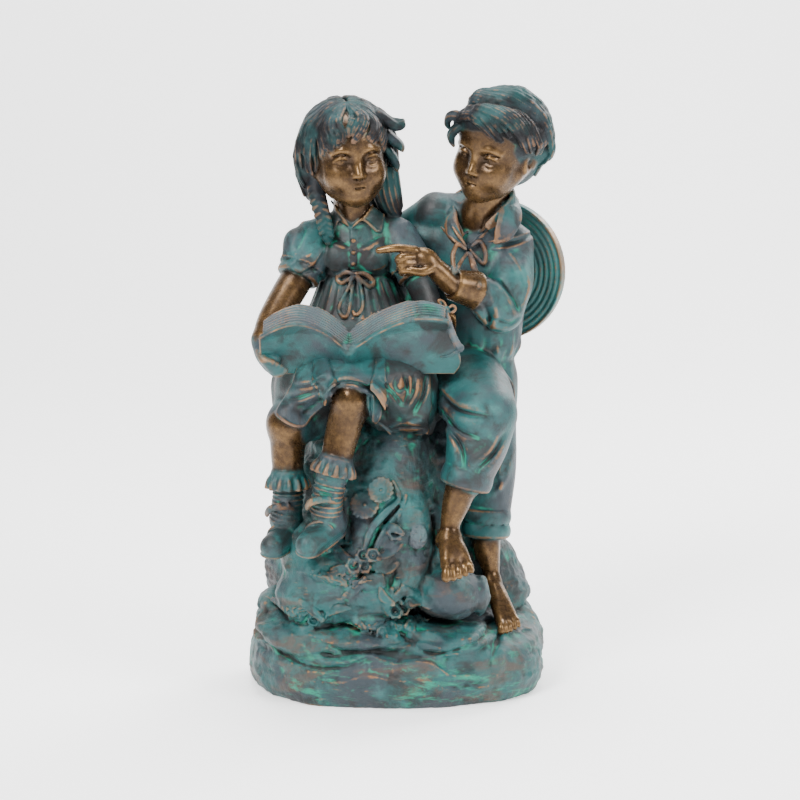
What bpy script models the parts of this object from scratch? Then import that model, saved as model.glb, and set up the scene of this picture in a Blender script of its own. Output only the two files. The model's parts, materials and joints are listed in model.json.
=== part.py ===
"""Garden statue: a girl and a boy reading a book on a rock, cast as one piece.

The form is modelled in millimetres as overlapping lumps, then fused into one closed skin.
+X is the viewer's right, +Y the back, +Z up, and the origin lies under the base.
"""
import math

import bmesh
import bpy
from mathutils import Euler, Matrix, Vector, noise

MM = 0.001

# Base and rock
BASE_WIDTH = 190.0
BASE_DEPTH = 140.0
BASE_EDGE_HEIGHT = 34.0
BASE_MOUND_RISE = 14.0
BASE_EDGE_ROUND = 9.0
ROCK_WIDTH = 104.0
ROCK_DEPTH = 92.0
ROCK_TOP = 178.0
ROCK_POST = ((29.0, -24.0, 66.0), (28.0, -20.0, 110.0), (27.0, -10.0, 142.0))
FOOT_STONE = ((33.0, -42.0, 64.0), (24.0, 22.0, 23.0))
BLOSSOMS = (((-10.0, -48.0, 134.0), 7.5), ((-19.0, -50.0, 123.0), 8.5), ((13.0, -46.0, 106.0), 6.5))
BLADES = (((-2.0, -44.0, 126.0), (-12.0, -52.0, 112.0), (-24.0, -55.0, 98.0)),
          ((-34.0, -42.0, 122.0), (-32.0, -44.0, 114.0), (-30.0, -46.0, 106.0)))
BUDS = ((-22.0, -56.0, 96.0), (-28.0, -55.0, 90.0), (-1.0, -48.0, 108.0), (5.0, -58.0, 68.0),
        (-1.0, -61.0, 60.0))

# Figures
HEAD_HEIGHT = 51.5
HAIR_LOCKS = 16
NECK_RADIUS = 9.5
GIRL_CHEST_WIDTH = 47.0
GIRL_CHEST_DEPTH = 33.0
GIRL_SHIN_RADIUS = 10.5
SKIRT_WIDTH = 106.0
SKIRT_FOLDS = 11
SKIRT_FOLD_DEPTH = 3.2
SKIRT_ARCH_RISE = 24.0
BOY_CHEST_WIDTH = 60.0
BOY_CHEST_DEPTH = 42.0
TROUSER_RADIUS = 20.0
BOY_SHIN_RADIUS = 9.0
SLEEVE_RADIUS = 13.0
FOREARM_RADIUS = 8.0
SHOE_WIDTH = 19.0
SIDE_FOLDS = (20.0, 14.0, 30.0)

# Book and hat
BOOK_SPINE = (-29.0, -44.0, 209.0)
BOOK_LEFT = 54.0
BOOK_RIGHT = 72.0
BOOK_PAGE_HEIGHT = 30.0
BOOK_THICKNESS = 19.0
BOOK_TILT = math.radians(44.0)
HAT_RADIUS = 45.0
HAT_MIDDLE = (66.0, 47.0, 262.0)
HAT_PAD = (26.0, 16.0, 30.0)
HAT_YAW = math.radians(-22.0)
HAT_BRIM_THICKNESS = 9.0
HAT_CROWN_DEPTH = 19.0

# Skin of the casting
CLAY_GRAIN = 1.7
SMOOTH_PASSES = 5
FACE_BUDGET = 9400

TUBE_SIDES = 16
PATINA_COLOUR = (0.045, 0.105, 0.10, 1.0)
PATINA_ROUGHNESS = 0.55
PATINA_METALLIC = 0.35

# Joints of each child, as seen from the front
GIRL = {
    "head": (-30, -3, 341), "facing": (0.26, -0.95, -0.12), "crown": (-0.08, 0.0, 1.0),
    "neck_top": (-28, 0, 318), "neck": (-26, 3, 299),
    "chest": (-25, 3, 281), "waist": (-25, 4, 262), "pelvis": (-24, 12, 203),
    "shoulder_near": (-50, 4, 288), "elbow_near": (-63, -9, 262),
    "wrist_near": (-81, -40, 234), "hand_near": (-84, -43, 219),
    "shoulder_far": (0, 6, 289), "elbow_far": (13, -5, 263), "wrist_far": (22, -28, 245),
    "hip_far": (-12, 8, 197), "knee_far": (-28, -54, 194), "ankle_far": (-42, -58, 137),
    "toe_far": (-54, -70, 106),
    "hip_near": (-39, 8, 193), "knee_near": (-68, -36, 174), "ankle_near": (-68, -36, 128),
    "toe_near": (-77, -50, 100), "side": (8, 22, 262),
}
BOY = {
    "head": (62, 3, 343), "facing": (-0.56, -0.81, -0.16), "crown": (0.27, 0.04, 0.96),
    "neck_top": (53, 5, 319), "neck": (51, 12, 300),
    "chest": (53, 17, 268), "waist": (52, 18, 214), "pelvis": (52, 18, 197),
    "shoulder_back": (25, 20, 302), "elbow_back": (-2, 33, 286), "hand_back": (-34, 27, 288),
    "shoulder_front": (73, 12, 282), "elbow_front": (66, -10, 243),
    "wrist_front": (31, -36, 272), "knuckles": (12, -38, 278), "fingertip": (-10, -40, 284),
    "hip_bent": (40, 12, 198), "knee_bent": (54, -38, 182), "ankle_bent": (34, -44, 104),
    "toe_bent": (38, -64, 88),
    "hip_straight": (60, 18, 194), "knee_straight": (62, 12, 138),
    "ankle_straight": (60, 0, 68), "toe_straight": (71, -31, 44),
}


class Clay:
    """Collects closed lumps, given in millimetres, in one mesh."""

    def __init__(self):
        self.mesh = bmesh.new()

    def ball(self, center, radii, turn=(0, 0, 0), detail=4):
        """An ellipsoid, turned by degrees about X, Y and Z."""
        angles = Euler([math.radians(angle) for angle in turn])
        place = Matrix.Translation(Vector(center)) @ angles.to_matrix().to_4x4()
        place = place @ Matrix.Diagonal((*radii, 1.0))
        return bmesh.ops.create_icosphere(
            self.mesh, subdivisions=detail, radius=1.0, matrix=place)["verts"]

    def stone(self, center, radii, turn=(0, 0, 0), rough=0.10, seed=0.0):
        """A ball with a weathered surface."""
        for vert in self.ball(center, radii, turn):
            away = vert.co - Vector(center)
            spot = vert.co / 26.0 + Vector((seed, 0, 0))
            vert.co += away * rough * noise.noise(spot) * 2.0

    def loft(self, rings):
        """Closed rings of points joined in order, with both ends filled."""
        loops = [[self.mesh.verts.new(point) for point in ring] for ring in rings]
        count = len(loops[0])
        for low, high in zip(loops, loops[1:]):
            for index in range(count):
                after = (index + 1) % count
                self.mesh.faces.new((low[index], low[after], high[after], high[index]))
        for loop, flip in ((loops[0], True), (loops[-1], False)):
            middle = sum((vert.co for vert in loop), Vector()) / count
            hub = self.mesh.verts.new(middle)
            for index in range(count):
                after = (index + 1) % count
                corners = (loop[index], loop[after], hub)
                self.mesh.faces.new(corners[::-1] if flip else corners)

    def limb(self, points, radii, wide=1.0):
        """A round-ended tube along a smooth path; wide stretches it sideways in X."""
        path = smooth_path(points)
        sizes = smooth_path([(radius, 0, 0) for radius in radii])
        sizes = [size.x for size in sizes]
        stops = list(zip(path, sizes))
        rings = []
        side = None
        for index, (point, size) in enumerate(stops):
            before = path[max(index - 1, 0)]
            after = path[min(index + 1, len(path) - 1)]
            along = (after - before).normalized()
            if side is None:
                side = along.orthogonal().normalized()
            side = (side - along * side.dot(along)).normalized()
            up = along.cross(side)
            shifts = [(0.0, 1.0)]
            if index == 0:
                shifts = [(-math.cos(t), math.sin(t)) for t in (0.3, 0.8, 1.2)] + shifts
            if index == len(path) - 1:
                shifts = shifts + [(math.cos(t), math.sin(t)) for t in (1.2, 0.8, 0.3)]
            for ahead, share in shifts:
                center = point + along * ahead * size
                ring = []
                for step in range(TUBE_SIDES):
                    angle = 2 * math.pi * step / TUBE_SIDES
                    spoke = side * math.cos(angle) + up * math.sin(angle)
                    spoke = Vector((spoke.x * wide, spoke.y, spoke.z))
                    ring.append(center + spoke * size * share)
                rings.append(ring)
        self.loft(rings)


def smooth_path(points, steps=6):
    """Points along a curve that passes through the given ones."""
    knots = [Vector(point) for point in points]
    ends = [2 * knots[0] - knots[1]] + knots + [2 * knots[-1] - knots[-2]]
    path = []
    for a, b, c, d in zip(ends, ends[1:], ends[2:], ends[3:]):
        for step in range(steps):
            t = step / steps
            bend = (c - a) * t + (2 * a - 5 * b + 4 * c - d) * t * t
            bend += (3 * b - a - 3 * c + d) * t * t * t
            path.append(b + bend * 0.5)
    return path + [knots[-1]]


def between(start, end, share):
    """The point that lies a share of the way from start to end."""
    return Vector(start).lerp(Vector(end), share)


def oval(center, half_width, half_depth, power=2.0, count=64, ripple=None, rise=None):
    """A level ring; ripple(angle) moves points outward and rise(angle) upward, in millimetres."""
    ring = []
    for index in range(count):
        angle = 2 * math.pi * index / count
        across = math.cos(angle)
        back = math.sin(angle)
        reach = (abs(across) ** power + abs(back) ** power) ** (-1.0 / power)
        extra = ripple(angle) if ripple else 0.0
        x = across * (half_width * reach + extra)
        y = back * (half_depth * reach + extra)
        z = rise(angle) if rise else 0.0
        ring.append(Vector(center) + Vector((x, y, z)))
    return ring


def base(clay):
    """The low oval foot with its rounded edge, ledges and mound."""
    half_width = BASE_WIDTH / 2
    half_depth = BASE_DEPTH / 2
    edge = BASE_EDGE_HEIGHT
    profile = [(-4.0, -BASE_EDGE_ROUND * 0.9), (2.0, -BASE_EDGE_ROUND * 0.55),
               (edge * 0.25, -1.8), (edge * 0.5, 0.0), (edge * 0.75, -1.2),
               (edge * 0.92, -4.0), (edge, -9.0), (edge + 1.5, -22.0)]
    rings = []
    for height, inset in profile:
        def weather(angle, height=height):
            spot = Vector((math.cos(angle) * 2.2, math.sin(angle) * 2.2, height / 30.0))
            return noise.noise(spot) * 3.4
        rings.append(oval((0, 0, height), half_width + inset, half_depth + inset,
                          power=2.35, count=96, ripple=weather))
    clay.loft(rings)
    rise = BASE_MOUND_RISE
    clay.stone((0, 4, edge - 4), (half_width - 8, half_depth - 8, rise + 6), rough=0.05)
    clay.stone((-54, -8, edge + 4), (38, 52, rise + 8), (0, -4, 10), seed=3.0)
    clay.stone((60, 10, edge + 2), (32, 50, rise + 3), (0, 6, -8), seed=5.0)
    clay.stone((-8, 34, edge + 12), (66, 32, rise + 18), seed=7.0)


def rock(clay):
    """The boulder that the girl sits on, with the stones around its foot."""
    half_width = ROCK_WIDTH / 2
    half_depth = ROCK_DEPTH / 2
    middle = (BASE_EDGE_HEIGHT + ROCK_TOP) / 2 - 6
    half_height = ROCK_TOP - middle
    clay.stone((-23, 8, middle), (half_width, half_depth, half_height), rough=0.06, seed=1.0)
    clay.stone((-3, -10, ROCK_TOP - 42), (30, 34, 44), (0, 4, 0), rough=0.07, seed=2.0)
    clay.stone((-8, -18, 104), (36, 34, 54), (6, 0, 0), rough=0.08, seed=4.0)
    clay.stone((-24, -24, 84), (44, 34, 46), (14, 6, 0), rough=0.08, seed=15.0)
    clay.stone((26, 22, 118), (24, 30, 62), rough=0.08, seed=6.0)
    clay.stone((-52, -30, 76), (27, 28, 28), (0, 12, 0), rough=0.06, seed=8.0)
    clay.stone((-58, 8, 62), (30, 42, 34), rough=0.08, seed=9.0)
    clay.stone((-38, -38, 52), (46, 27, 22), (0, 4, 0), rough=0.06, seed=10.0)
    clay.stone(*FOOT_STONE, (0, 0, 0), rough=0.04, seed=11.0)
    clay.stone((2, -46, 50), (28, 19, 18), rough=0.08, seed=12.0)
    clay.stone((50, 34, 60), (30, 28, 36), rough=0.08, seed=14.0)
    clay.limb(ROCK_POST, [10, 8, 7])


def flowers(clay):
    """The larger blossoms and leaves that grow on the rock."""
    for center, radius in BLOSSOMS:
        clay.ball(center, (radius, 5.0, radius), (12, 0, 0), detail=3)
    for blade in BLADES:
        clay.limb(blade, [3, 4.5, 2.5])
    for center in BUDS:
        clay.ball(center, (5, 4, 5), detail=3)


def shoe(clay, ankle, toe):
    """A closed shoe with a round toe, from the ankle down to the tip."""
    half = SHOE_WIDTH / 2
    heel = Vector(ankle) + Vector((2, 7, -15))
    clay.limb([heel, between(heel, toe, 0.5), toe], [half, half * 0.98, half * 0.9])
    clay.limb([ankle, heel], [half + 1, half])


def girl_legs(clay):
    for side in ("near", "far"):
        hip, knee = GIRL["hip_" + side], GIRL["knee_" + side]
        ankle, toe = GIRL["ankle_" + side], GIRL["toe_" + side]
        clay.limb([hip, between(hip, knee, 0.5), knee], [19, 17, 13.5])
        calf = between(knee, ankle, 0.4) + Vector((0, 2, 0))
        radius = GIRL_SHIN_RADIUS
        clay.limb([knee, calf, ankle], [radius + 2.5, radius + 1, radius - 1.5])
        frill = between(knee, ankle, 1.12)
        clay.ball(frill, (radius + 3.5, radius + 3.5, 6))
        clay.limb([ankle, Vector(ankle) + Vector((-2, 2, -20))], [radius, radius - 0.5])
        shoe(clay, Vector(ankle) + Vector((-1, 0, -14)), toe)


def girl_skirt(clay):
    """The skirt from the waist over the lap and down the rock, with its folds."""
    half = SKIRT_WIDTH / 2
    waist, pelvis = Vector(GIRL["waist"]), Vector(GIRL["pelvis"])
    levels = [
        (waist.z, waist.x, waist.y, 22, 15, 0.0, 0.0),
        (waist.z - 12, -24.5, 2, 27, 20, 0.3, 0.0),
        (waist.z - 26, -24, -1, 34, 27, 0.5, 0.0),
        (224, -24, -5, 42, 38, 0.7, 0.0),
        (212, -25, -9, 48, 49, 0.8, 0.0),
        (198, -25, -8, half, 52, 1.0, 0.25),
        (184, -25, -3, half, 48, 1.0, 0.7),
        (172, -25, 4, half - 1, 43, 1.0, 1.0),
        (164, -25, 10, half - 3, 38, 1.0, 1.0),
    ]
    rings = []
    for height, x, y, wide, deep, fold, lift in reversed(levels):
        def pleat(angle, fold=fold):
            return SKIRT_FOLD_DEPTH * fold * math.sin(angle * SKIRT_FOLDS + 0.6 * math.sin(angle * 3))

        def arch(angle, lift=lift):
            away = (angle - 1.5 * math.pi) / math.radians(24)
            return SKIRT_ARCH_RISE * lift * math.exp(-away * away)
        rings.append(oval((x, y, height), wide, deep, power=2.2, ripple=pleat, rise=arch))
    clay.loft(rings)
    for side, size in (("near", 20), ("far", 18)):
        hip, knee = GIRL["hip_" + side], GIRL["knee_" + side]
        clay.limb([hip, between(hip, knee, 0.5), between(hip, knee, 0.86)],
                  [size + 3, size + 1, size - 2])
    clay.ball(pelvis + Vector((0, 4, 8)), (38, 30, 28))


def girl_body(clay):
    wide, deep = GIRL_CHEST_WIDTH / 2, GIRL_CHEST_DEPTH / 2
    chest, waist, neck = Vector(GIRL["chest"]), Vector(GIRL["waist"]), Vector(GIRL["neck"])
    clay.loft([
        oval(waist + Vector((0, 0, -24)), wide + 4, deep + 6),
        oval(waist, wide - 1, deep - 1),
        oval(chest + Vector((0, 0, -6)), wide, deep),
        oval(chest + Vector((0, 0, 6)), wide, deep - 1),
        oval(neck + Vector((0, 1, -5)), wide - 3, deep - 4),
        oval(neck, wide - 10, deep - 6),
    ])
    clay.limb([GIRL["shoulder_near"], neck + Vector((0, 2, -6)), GIRL["shoulder_far"]], [10, 12, 10])
    clay.limb([neck, GIRL["neck_top"]], [NECK_RADIUS + 1, NECK_RADIUS])
    for side in ("near", "far"):
        shoulder, elbow = GIRL["shoulder_" + side], GIRL["elbow_" + side]
        wrist = GIRL["wrist_" + side]
        clay.limb([shoulder, between(shoulder, elbow, 0.45), between(shoulder, elbow, 0.8)],
                  [SLEEVE_RADIUS - 1, SLEEVE_RADIUS + 2, SLEEVE_RADIUS])
        clay.ball(between(shoulder, elbow, 0.9), (SLEEVE_RADIUS + 3, SLEEVE_RADIUS + 2, 6.5))
        clay.limb([elbow, between(elbow, wrist, 0.4), wrist],
                  [FOREARM_RADIUS + 1, FOREARM_RADIUS, FOREARM_RADIUS - 2])
    hand = Vector(GIRL["hand_near"])
    clay.limb([GIRL["wrist_near"], hand], [6, 7])
    for finger in range(4):
        start = hand + Vector((-1, -4, 6 - 5.0 * finger))
        clay.limb([start, start + Vector((6, -6, -1)), start + Vector((14, -5, -2))], [3, 3, 2.6])
    clay.limb([GIRL["wrist_far"], Vector(GIRL["wrist_far"]) + Vector((4, -8, -10))], [6, 6])
    bow = waist + Vector((1, -17, 6))
    for side in (-1, 1):
        clay.limb([bow, bow + Vector((7 * side, -1, 0)), bow + Vector((11 * side, 0, -7))], [2.4, 3.4, 2])
        clay.limb([bow, bow + Vector((3.5 * side, -2, -14)), bow + Vector((5 * side, -4, -26))],
                  [2, 2.6, 2])
        flap = neck + Vector((13 * side, -11, -2))
        clay.ball(flap, (10, 4, 6), (20, 20 * side, -20 * side))


def face(clay, frame, size):
    """A calm child's face and skull in the head's own frame, facing -Y."""
    def at(x, y, z):
        return frame @ (Vector((x, y, z)) * size)

    turn = [math.degrees(angle) for angle in frame.to_euler()]
    clay.ball(at(0, 3, 6), (24 * size, 27 * size, 25 * size), turn)
    clay.ball(at(0, -7, -6), (20 * size, 18 * size, 22 * size), turn)
    clay.ball(at(0, -17, -21), (8 * size, 7 * size, 6.5 * size), turn)
    clay.limb([at(0, -24.5, 1), at(0, -28, -6), at(0, -27, -9)],
              [2.4 * size, 3.2 * size, 3.4 * size])
    clay.limb([at(-4, -24, -15), at(0, -25.5, -14.5), at(4, -24, -15)],
              [1.8 * size, 2.6 * size, 1.8 * size])
    for side in (-1, 1):
        clay.ball(at(10.5 * side, -18, -9), (8.5 * size, 7 * size, 8 * size), turn)
        clay.limb([at(4 * side, -24.5, 6), at(10 * side, -23.5, 7), at(16 * side, -19, 4)],
                  [1.8 * size, 2.0 * size, 1.6 * size])
        clay.ball(at(9 * side, -20.5, 1), (4.6 * size, 3.6 * size, 3.2 * size), turn)
        clay.ball(at(22 * side, 2, -3), (3 * size, 5 * size, 7 * size), turn)


def head_frame(pose):
    """The head's own frame: it faces -Y there, with its crown up +Z."""
    back = -Vector(pose["facing"]).normalized()
    up = Vector(pose["crown"])
    up = (up - back * up.dot(back)).normalized()
    turn = Matrix((back.cross(up), back, up)).transposed()
    return Matrix.Translation(Vector(pose["head"])) @ turn.to_4x4()


def lock(clay, frame, size, points, radii):
    """One lock of hair in the head's frame."""
    path = [frame @ (Vector(point) * size) for point in points]
    clay.limb(path, [radius * size for radius in radii])


def hair(clay, frame, size, parting, hem, sweep, thick):
    """Locks from the parting, all round the skull, down to the hem's height."""
    turn = [math.degrees(angle) for angle in frame.to_euler()]
    clay.ball(frame @ (Vector((0, 6, 9)) * size), (26.5 * size, 28 * size, 25 * size), turn)
    clay.ball(frame @ (Vector((0, 12, -4)) * size), (25 * size, 20 * size, 23 * size), turn)
    for step in range(HAIR_LOCKS):
        angle = 2 * math.pi * (step + 0.5) / HAIR_LOCKS
        low, flick = hem(angle)
        path = []
        for share, height in ((0.1, 30.5), (0.62, 28), (0.94, 18), (1.03, 0.5 * (16 + low)),
                              (1.0 + flick, low)):
            swing = angle + sweep * share * share
            path.append((parting * (1 - share) + 25.5 * share * math.sin(swing),
                         5 - 26.5 * share * math.cos(swing), height))
        lock(clay, frame, size, path, [thick, thick + 1, thick, thick - 1, 2.2])


def girl_head(clay):
    """Parted hair with a fringe and jaw-length sides, and a plait over the shoulder."""
    size = HEAD_HEIGHT / 52.0
    frame = head_frame(GIRL)
    face(clay, frame, size)

    def hem(angle):
        front = math.cos(angle)
        if front > 0.6:
            return 13, 0.0
        if front > 0.1:
            return -12, 0.12
        return -25, 0.05

    hair(clay, frame, size, 0.0, hem, 0.12, 5.0)
    lock(clay, frame, size, [(-24, -2, -8), (-23, -5, -24), (-16, -8, -42), (-12, -13, -52)],
         [5, 5.5, 5.5, 4])
    lock(clay, frame, size, [(22, 4, -10), (24, 7, -24), (26, 9, -34)], [6, 6, 4])


def boy_head(clay):
    """Thick tousled hair swept from the brow over the crown."""
    size = HEAD_HEIGHT / 52.0
    frame = head_frame(BOY)
    face(clay, frame, size)

    def hem(angle):
        front = math.cos(angle)
        if front > 0.5:
            return 16, 0.1
        if front > -0.1:
            return 3, 0.06
        return -18, 0.0

    hair(clay, frame, size, 6.0, hem, 0.5, 5.8)


def boy_body(clay):
    wide, deep = BOY_CHEST_WIDTH / 2, BOY_CHEST_DEPTH / 2
    chest, waist = Vector(BOY["chest"]), Vector(BOY["waist"])
    pelvis, neck = Vector(BOY["pelvis"]), Vector(BOY["neck"])
    clay.loft([
        oval(pelvis + Vector((0, 0, -14)), wide - 7, deep - 1),
        oval(pelvis, wide - 7, deep),
        oval(waist, wide - 7, deep - 1),
        oval(waist + Vector((1, 0, 10)), wide - 3, deep + 2),
        oval(chest + Vector((1, 0, -22)), wide + 1, deep),
        oval(chest, wide + 1, deep),
        oval(chest + Vector((-1, 0, 16)), wide - 1, deep - 3),
        oval(neck + Vector((-2, 3, 0)), wide - 14, deep - 9),
    ])
    clay.limb([BOY["shoulder_back"], neck + Vector((-2, 6, -4)), BOY["shoulder_front"]], [11, 14, 13])
    clay.limb([neck + Vector((0, 2, -4)), BOY["neck_top"]], [NECK_RADIUS + 4, NECK_RADIUS + 2])
    clay.limb([BOY["shoulder_back"], BOY["elbow_back"], BOY["hand_back"]], [12, 11, 9])
    clay.ball(GIRL["side"], SIDE_FOLDS)
    shoulder, elbow, wrist = BOY["shoulder_front"], BOY["elbow_front"], BOY["wrist_front"]
    full = SLEEVE_RADIUS
    clay.limb([shoulder, between(shoulder, elbow, 0.5) + Vector((3, 0, 0)), elbow], [full, full + 1, full])
    clay.limb([elbow, between(elbow, wrist, 0.35), between(elbow, wrist, 0.62)], [full, full, full - 1])
    clay.limb([elbow, wrist, BOY["knuckles"]], [FOREARM_RADIUS, FOREARM_RADIUS - 1, 7])
    clay.limb([BOY["knuckles"], between(BOY["knuckles"], BOY["fingertip"], 0.5), BOY["fingertip"]],
              [5, 3.2, 2.6])
    for finger in range(3):
        knuckle = Vector(BOY["knuckles"]) + Vector((1 - 1.5 * finger, -2, -4 - 4.5 * finger))
        clay.limb([knuckle, knuckle + Vector((-9, -3, 0)), knuckle + Vector((-6, 4, -3))], [3.4, 3.4, 3])
    collar = neck + Vector((-2, -10, -6))
    for side in (-1, 1):
        clay.ball(collar + Vector((14 * side + 2, 2, -4)), (11, 4, 8), (20, 25 * side, -20 * side))
        clay.limb([collar + Vector((0, -6, -12)), collar + Vector((8 * side, -6, -14))], [4, 5])
    clay.limb([collar + Vector((2, -6, -12)), collar + Vector((8, -5, -32))], [3, 4])


def boy_legs(clay):
    full = TROUSER_RADIUS
    hip, knee, ankle = BOY["hip_bent"], BOY["knee_bent"], BOY["ankle_bent"]
    clay.limb([hip, between(hip, knee, 0.6) + Vector((0, 0, 3)), knee], [full + 4, full + 4, full - 1])
    cuff = between(knee, ankle, 0.5) + Vector((2, 2, 0))
    clay.limb([knee, between(knee, cuff, 0.5), cuff], [full - 1, full - 2, full - 4])
    clay.ball(cuff, (17.5, 16, 7), (-12, 12, 0))
    calf = BOY_SHIN_RADIUS
    clay.limb([cuff, between(cuff, ankle, 0.5), ankle], [calf + 2, calf, calf - 2.5])
    foot(clay, ankle, BOY["toe_bent"])
    hip, knee, ankle = BOY["hip_straight"], BOY["knee_straight"], BOY["ankle_straight"]
    clay.limb([hip, between(hip, knee, 0.5), knee], [full - 3, full - 4, full - 5])
    cuff = between(knee, ankle, 0.5) + Vector((-2, -4, 0))
    clay.limb([knee, cuff], [full - 5, full - 5.5])
    for drop in (5, -5):
        clay.ball(cuff + Vector((0, 0, drop)), (16.5, 15, 6.5), (0, -8, 0))
    clay.limb([cuff, between(cuff, ankle, 0.5), ankle], [calf + 1.5, calf, calf - 2.5])
    foot(clay, ankle, BOY["toe_straight"])


def foot(clay, ankle, toe):
    """A bare foot with five toes."""
    ankle, toe = Vector(ankle), Vector(toe)
    clay.limb([ankle + Vector((0, 6, -8)), between(ankle, toe, 0.6)], [7, 7])
    for index in range(5):
        slide = (index - 2) * 4.0
        tip = toe + Vector((slide, abs(slide) * 0.3, 0))
        clay.limb([between(ankle, toe, 0.45) + Vector((slide * 0.5, 0, -1)), tip], [4.6, 2.8])


def book(clay):
    """The open book: covers that slope up from the lap, and the arched pages behind them."""
    rise = Vector((0, -math.cos(BOOK_TILT), math.sin(BOOK_TILT)))
    into = Vector((0, math.sin(BOOK_TILT), math.cos(BOOK_TILT)))
    tail = Vector(BOOK_SPINE)
    for side, reach, arch, turnover in ((-1, BOOK_LEFT, 12, 0.92), (1, BOOK_RIGHT, 15, 0.62)):
        rings = []
        for end in (0.0, 1.0):
            under, over = [], []
            for step in range(13):
                share = step / 12
                lift = arch * math.sin(math.pi * share * turnover) * end
                skew = 1.0 - 0.16 * end if side > 0 else 1.0
                rest = tail + Vector((side * reach * share * skew, 0, lift))
                rest += rise * (BOOK_PAGE_HEIGHT - 8 * (1 - share) * (1 - share)) * end
                page = BOOK_THICKNESS * (1.0 - 0.3 * share * share)
                under.append(rest)
                over.append(rest + into * page)
            ring = under + over[::-1]
            rings.append(ring if side > 0 else ring[::-1])
        clay.loft(rings)
    clay.limb([tail + into * 2, tail + into * 2 + rise * (BOOK_PAGE_HEIGHT - 8)], [5, 5])


def hat(clay):
    """The round straw hat that hangs on the boy's back."""
    middle = Vector(HAT_MIDDLE)
    turn = Euler((math.radians(90), 0, HAT_YAW)).to_matrix().to_4x4()
    frame = Matrix.Translation(middle) @ turn
    half = HAT_BRIM_THICKNESS / 2
    profile = [(HAT_RADIUS - half, half), (HAT_RADIUS, 0.0), (HAT_RADIUS - half, -half),
               (HAT_RADIUS * 0.62, -half), (HAT_RADIUS * 0.56, -half - HAT_CROWN_DEPTH * 0.7),
               (HAT_RADIUS * 0.42, -half - HAT_CROWN_DEPTH)]
    rings = []
    for radius, height in profile:
        rings.append([frame @ Vector((radius * math.cos(a), radius * math.sin(a), height))
                      for a in [2 * math.pi * step / 64 for step in range(64)]])
    clay.loft(rings)
    clay.ball(middle - Vector((0, HAT_PAD[1] - 2, 0)), HAT_PAD)


def patina_material():
    material = bpy.data.materials.new("verdigris_bronze")
    material.use_nodes = True
    shader = material.node_tree.nodes["Principled BSDF"]
    shader.inputs["Base Color"].default_value = PATINA_COLOUR
    shader.inputs["Roughness"].default_value = PATINA_ROUGHNESS
    shader.inputs["Metallic"].default_value = PATINA_METALLIC
    return material


def floor_cutter():
    """A guide block below the origin that cuts the underside flat."""
    depth = 0.06
    mesh = bpy.data.meshes.new("floor_cutter")
    block = bmesh.new()
    bmesh.ops.create_cube(block, size=1.0, matrix=Matrix.Diagonal((0.6, 0.6, depth, 1.0)))
    block.to_mesh(mesh)
    block.free()
    cutter = bpy.data.objects.new("floor_cutter", mesh)
    cutter.location.z = -depth / 2
    cutter.hide_render = True
    cutter.display_type = "WIRE"
    bpy.context.collection.objects.link(cutter)
    return cutter


def cast_statue():
    """All lumps in one object, fused, smoothed and cut flat below by its modifiers."""
    clay = Clay()
    for shape in (base, rock, flowers, girl_legs, girl_skirt, girl_body, girl_head,
                  boy_body, boy_legs, boy_head, book, hat):
        shape(clay)
    clay.mesh.transform(Matrix.Scale(MM, 4))
    mesh = bpy.data.meshes.new("statue")
    clay.mesh.to_mesh(mesh)
    clay.mesh.free()
    mesh.materials.append(patina_material())
    statue = bpy.data.objects.new("statue", mesh)
    bpy.context.collection.objects.link(statue)
    fuse = statue.modifiers.new("fuse", "REMESH")
    fuse.mode = "VOXEL"
    fuse.voxel_size = CLAY_GRAIN * MM
    soften = statue.modifiers.new("soften", "SMOOTH")
    soften.iterations = SMOOTH_PASSES
    soften.factor = 0.5
    thin = statue.modifiers.new("thin", "DECIMATE")
    thin.ratio = face_share(statue)
    trim = statue.modifiers.new("trim", "BOOLEAN")
    trim.operation = "DIFFERENCE"
    trim.solver = "EXACT"
    trim.object = floor_cutter()
    return statue


def face_share(statue):
    """The share of the fused skin's triangles that the face budget allows."""
    bpy.context.view_layer.update()
    seen = statue.evaluated_get(bpy.context.evaluated_depsgraph_get())
    dense = seen.to_mesh()
    triangles = sum(len(polygon.vertices) - 2 for polygon in dense.polygons)
    seen.to_mesh_clear()
    return min(1.0, FACE_BUDGET / triangles)


for leftover in list(bpy.data.objects):
    bpy.data.objects.remove(leftover)
cast_statue()
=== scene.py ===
"""Looks of the garden statue: two children reading on a rock, in verdigris bronze finish.

Each piece is modelled as clay: lumps, strokes and overlays on a distance field in
millimetres, meshed and scaled to metres. +X is the viewer's right, +Y the back, +Z up.
"""
import json
import math

import bpy
import numpy as np
import openvdb
from mathutils import Matrix, Vector

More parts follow.
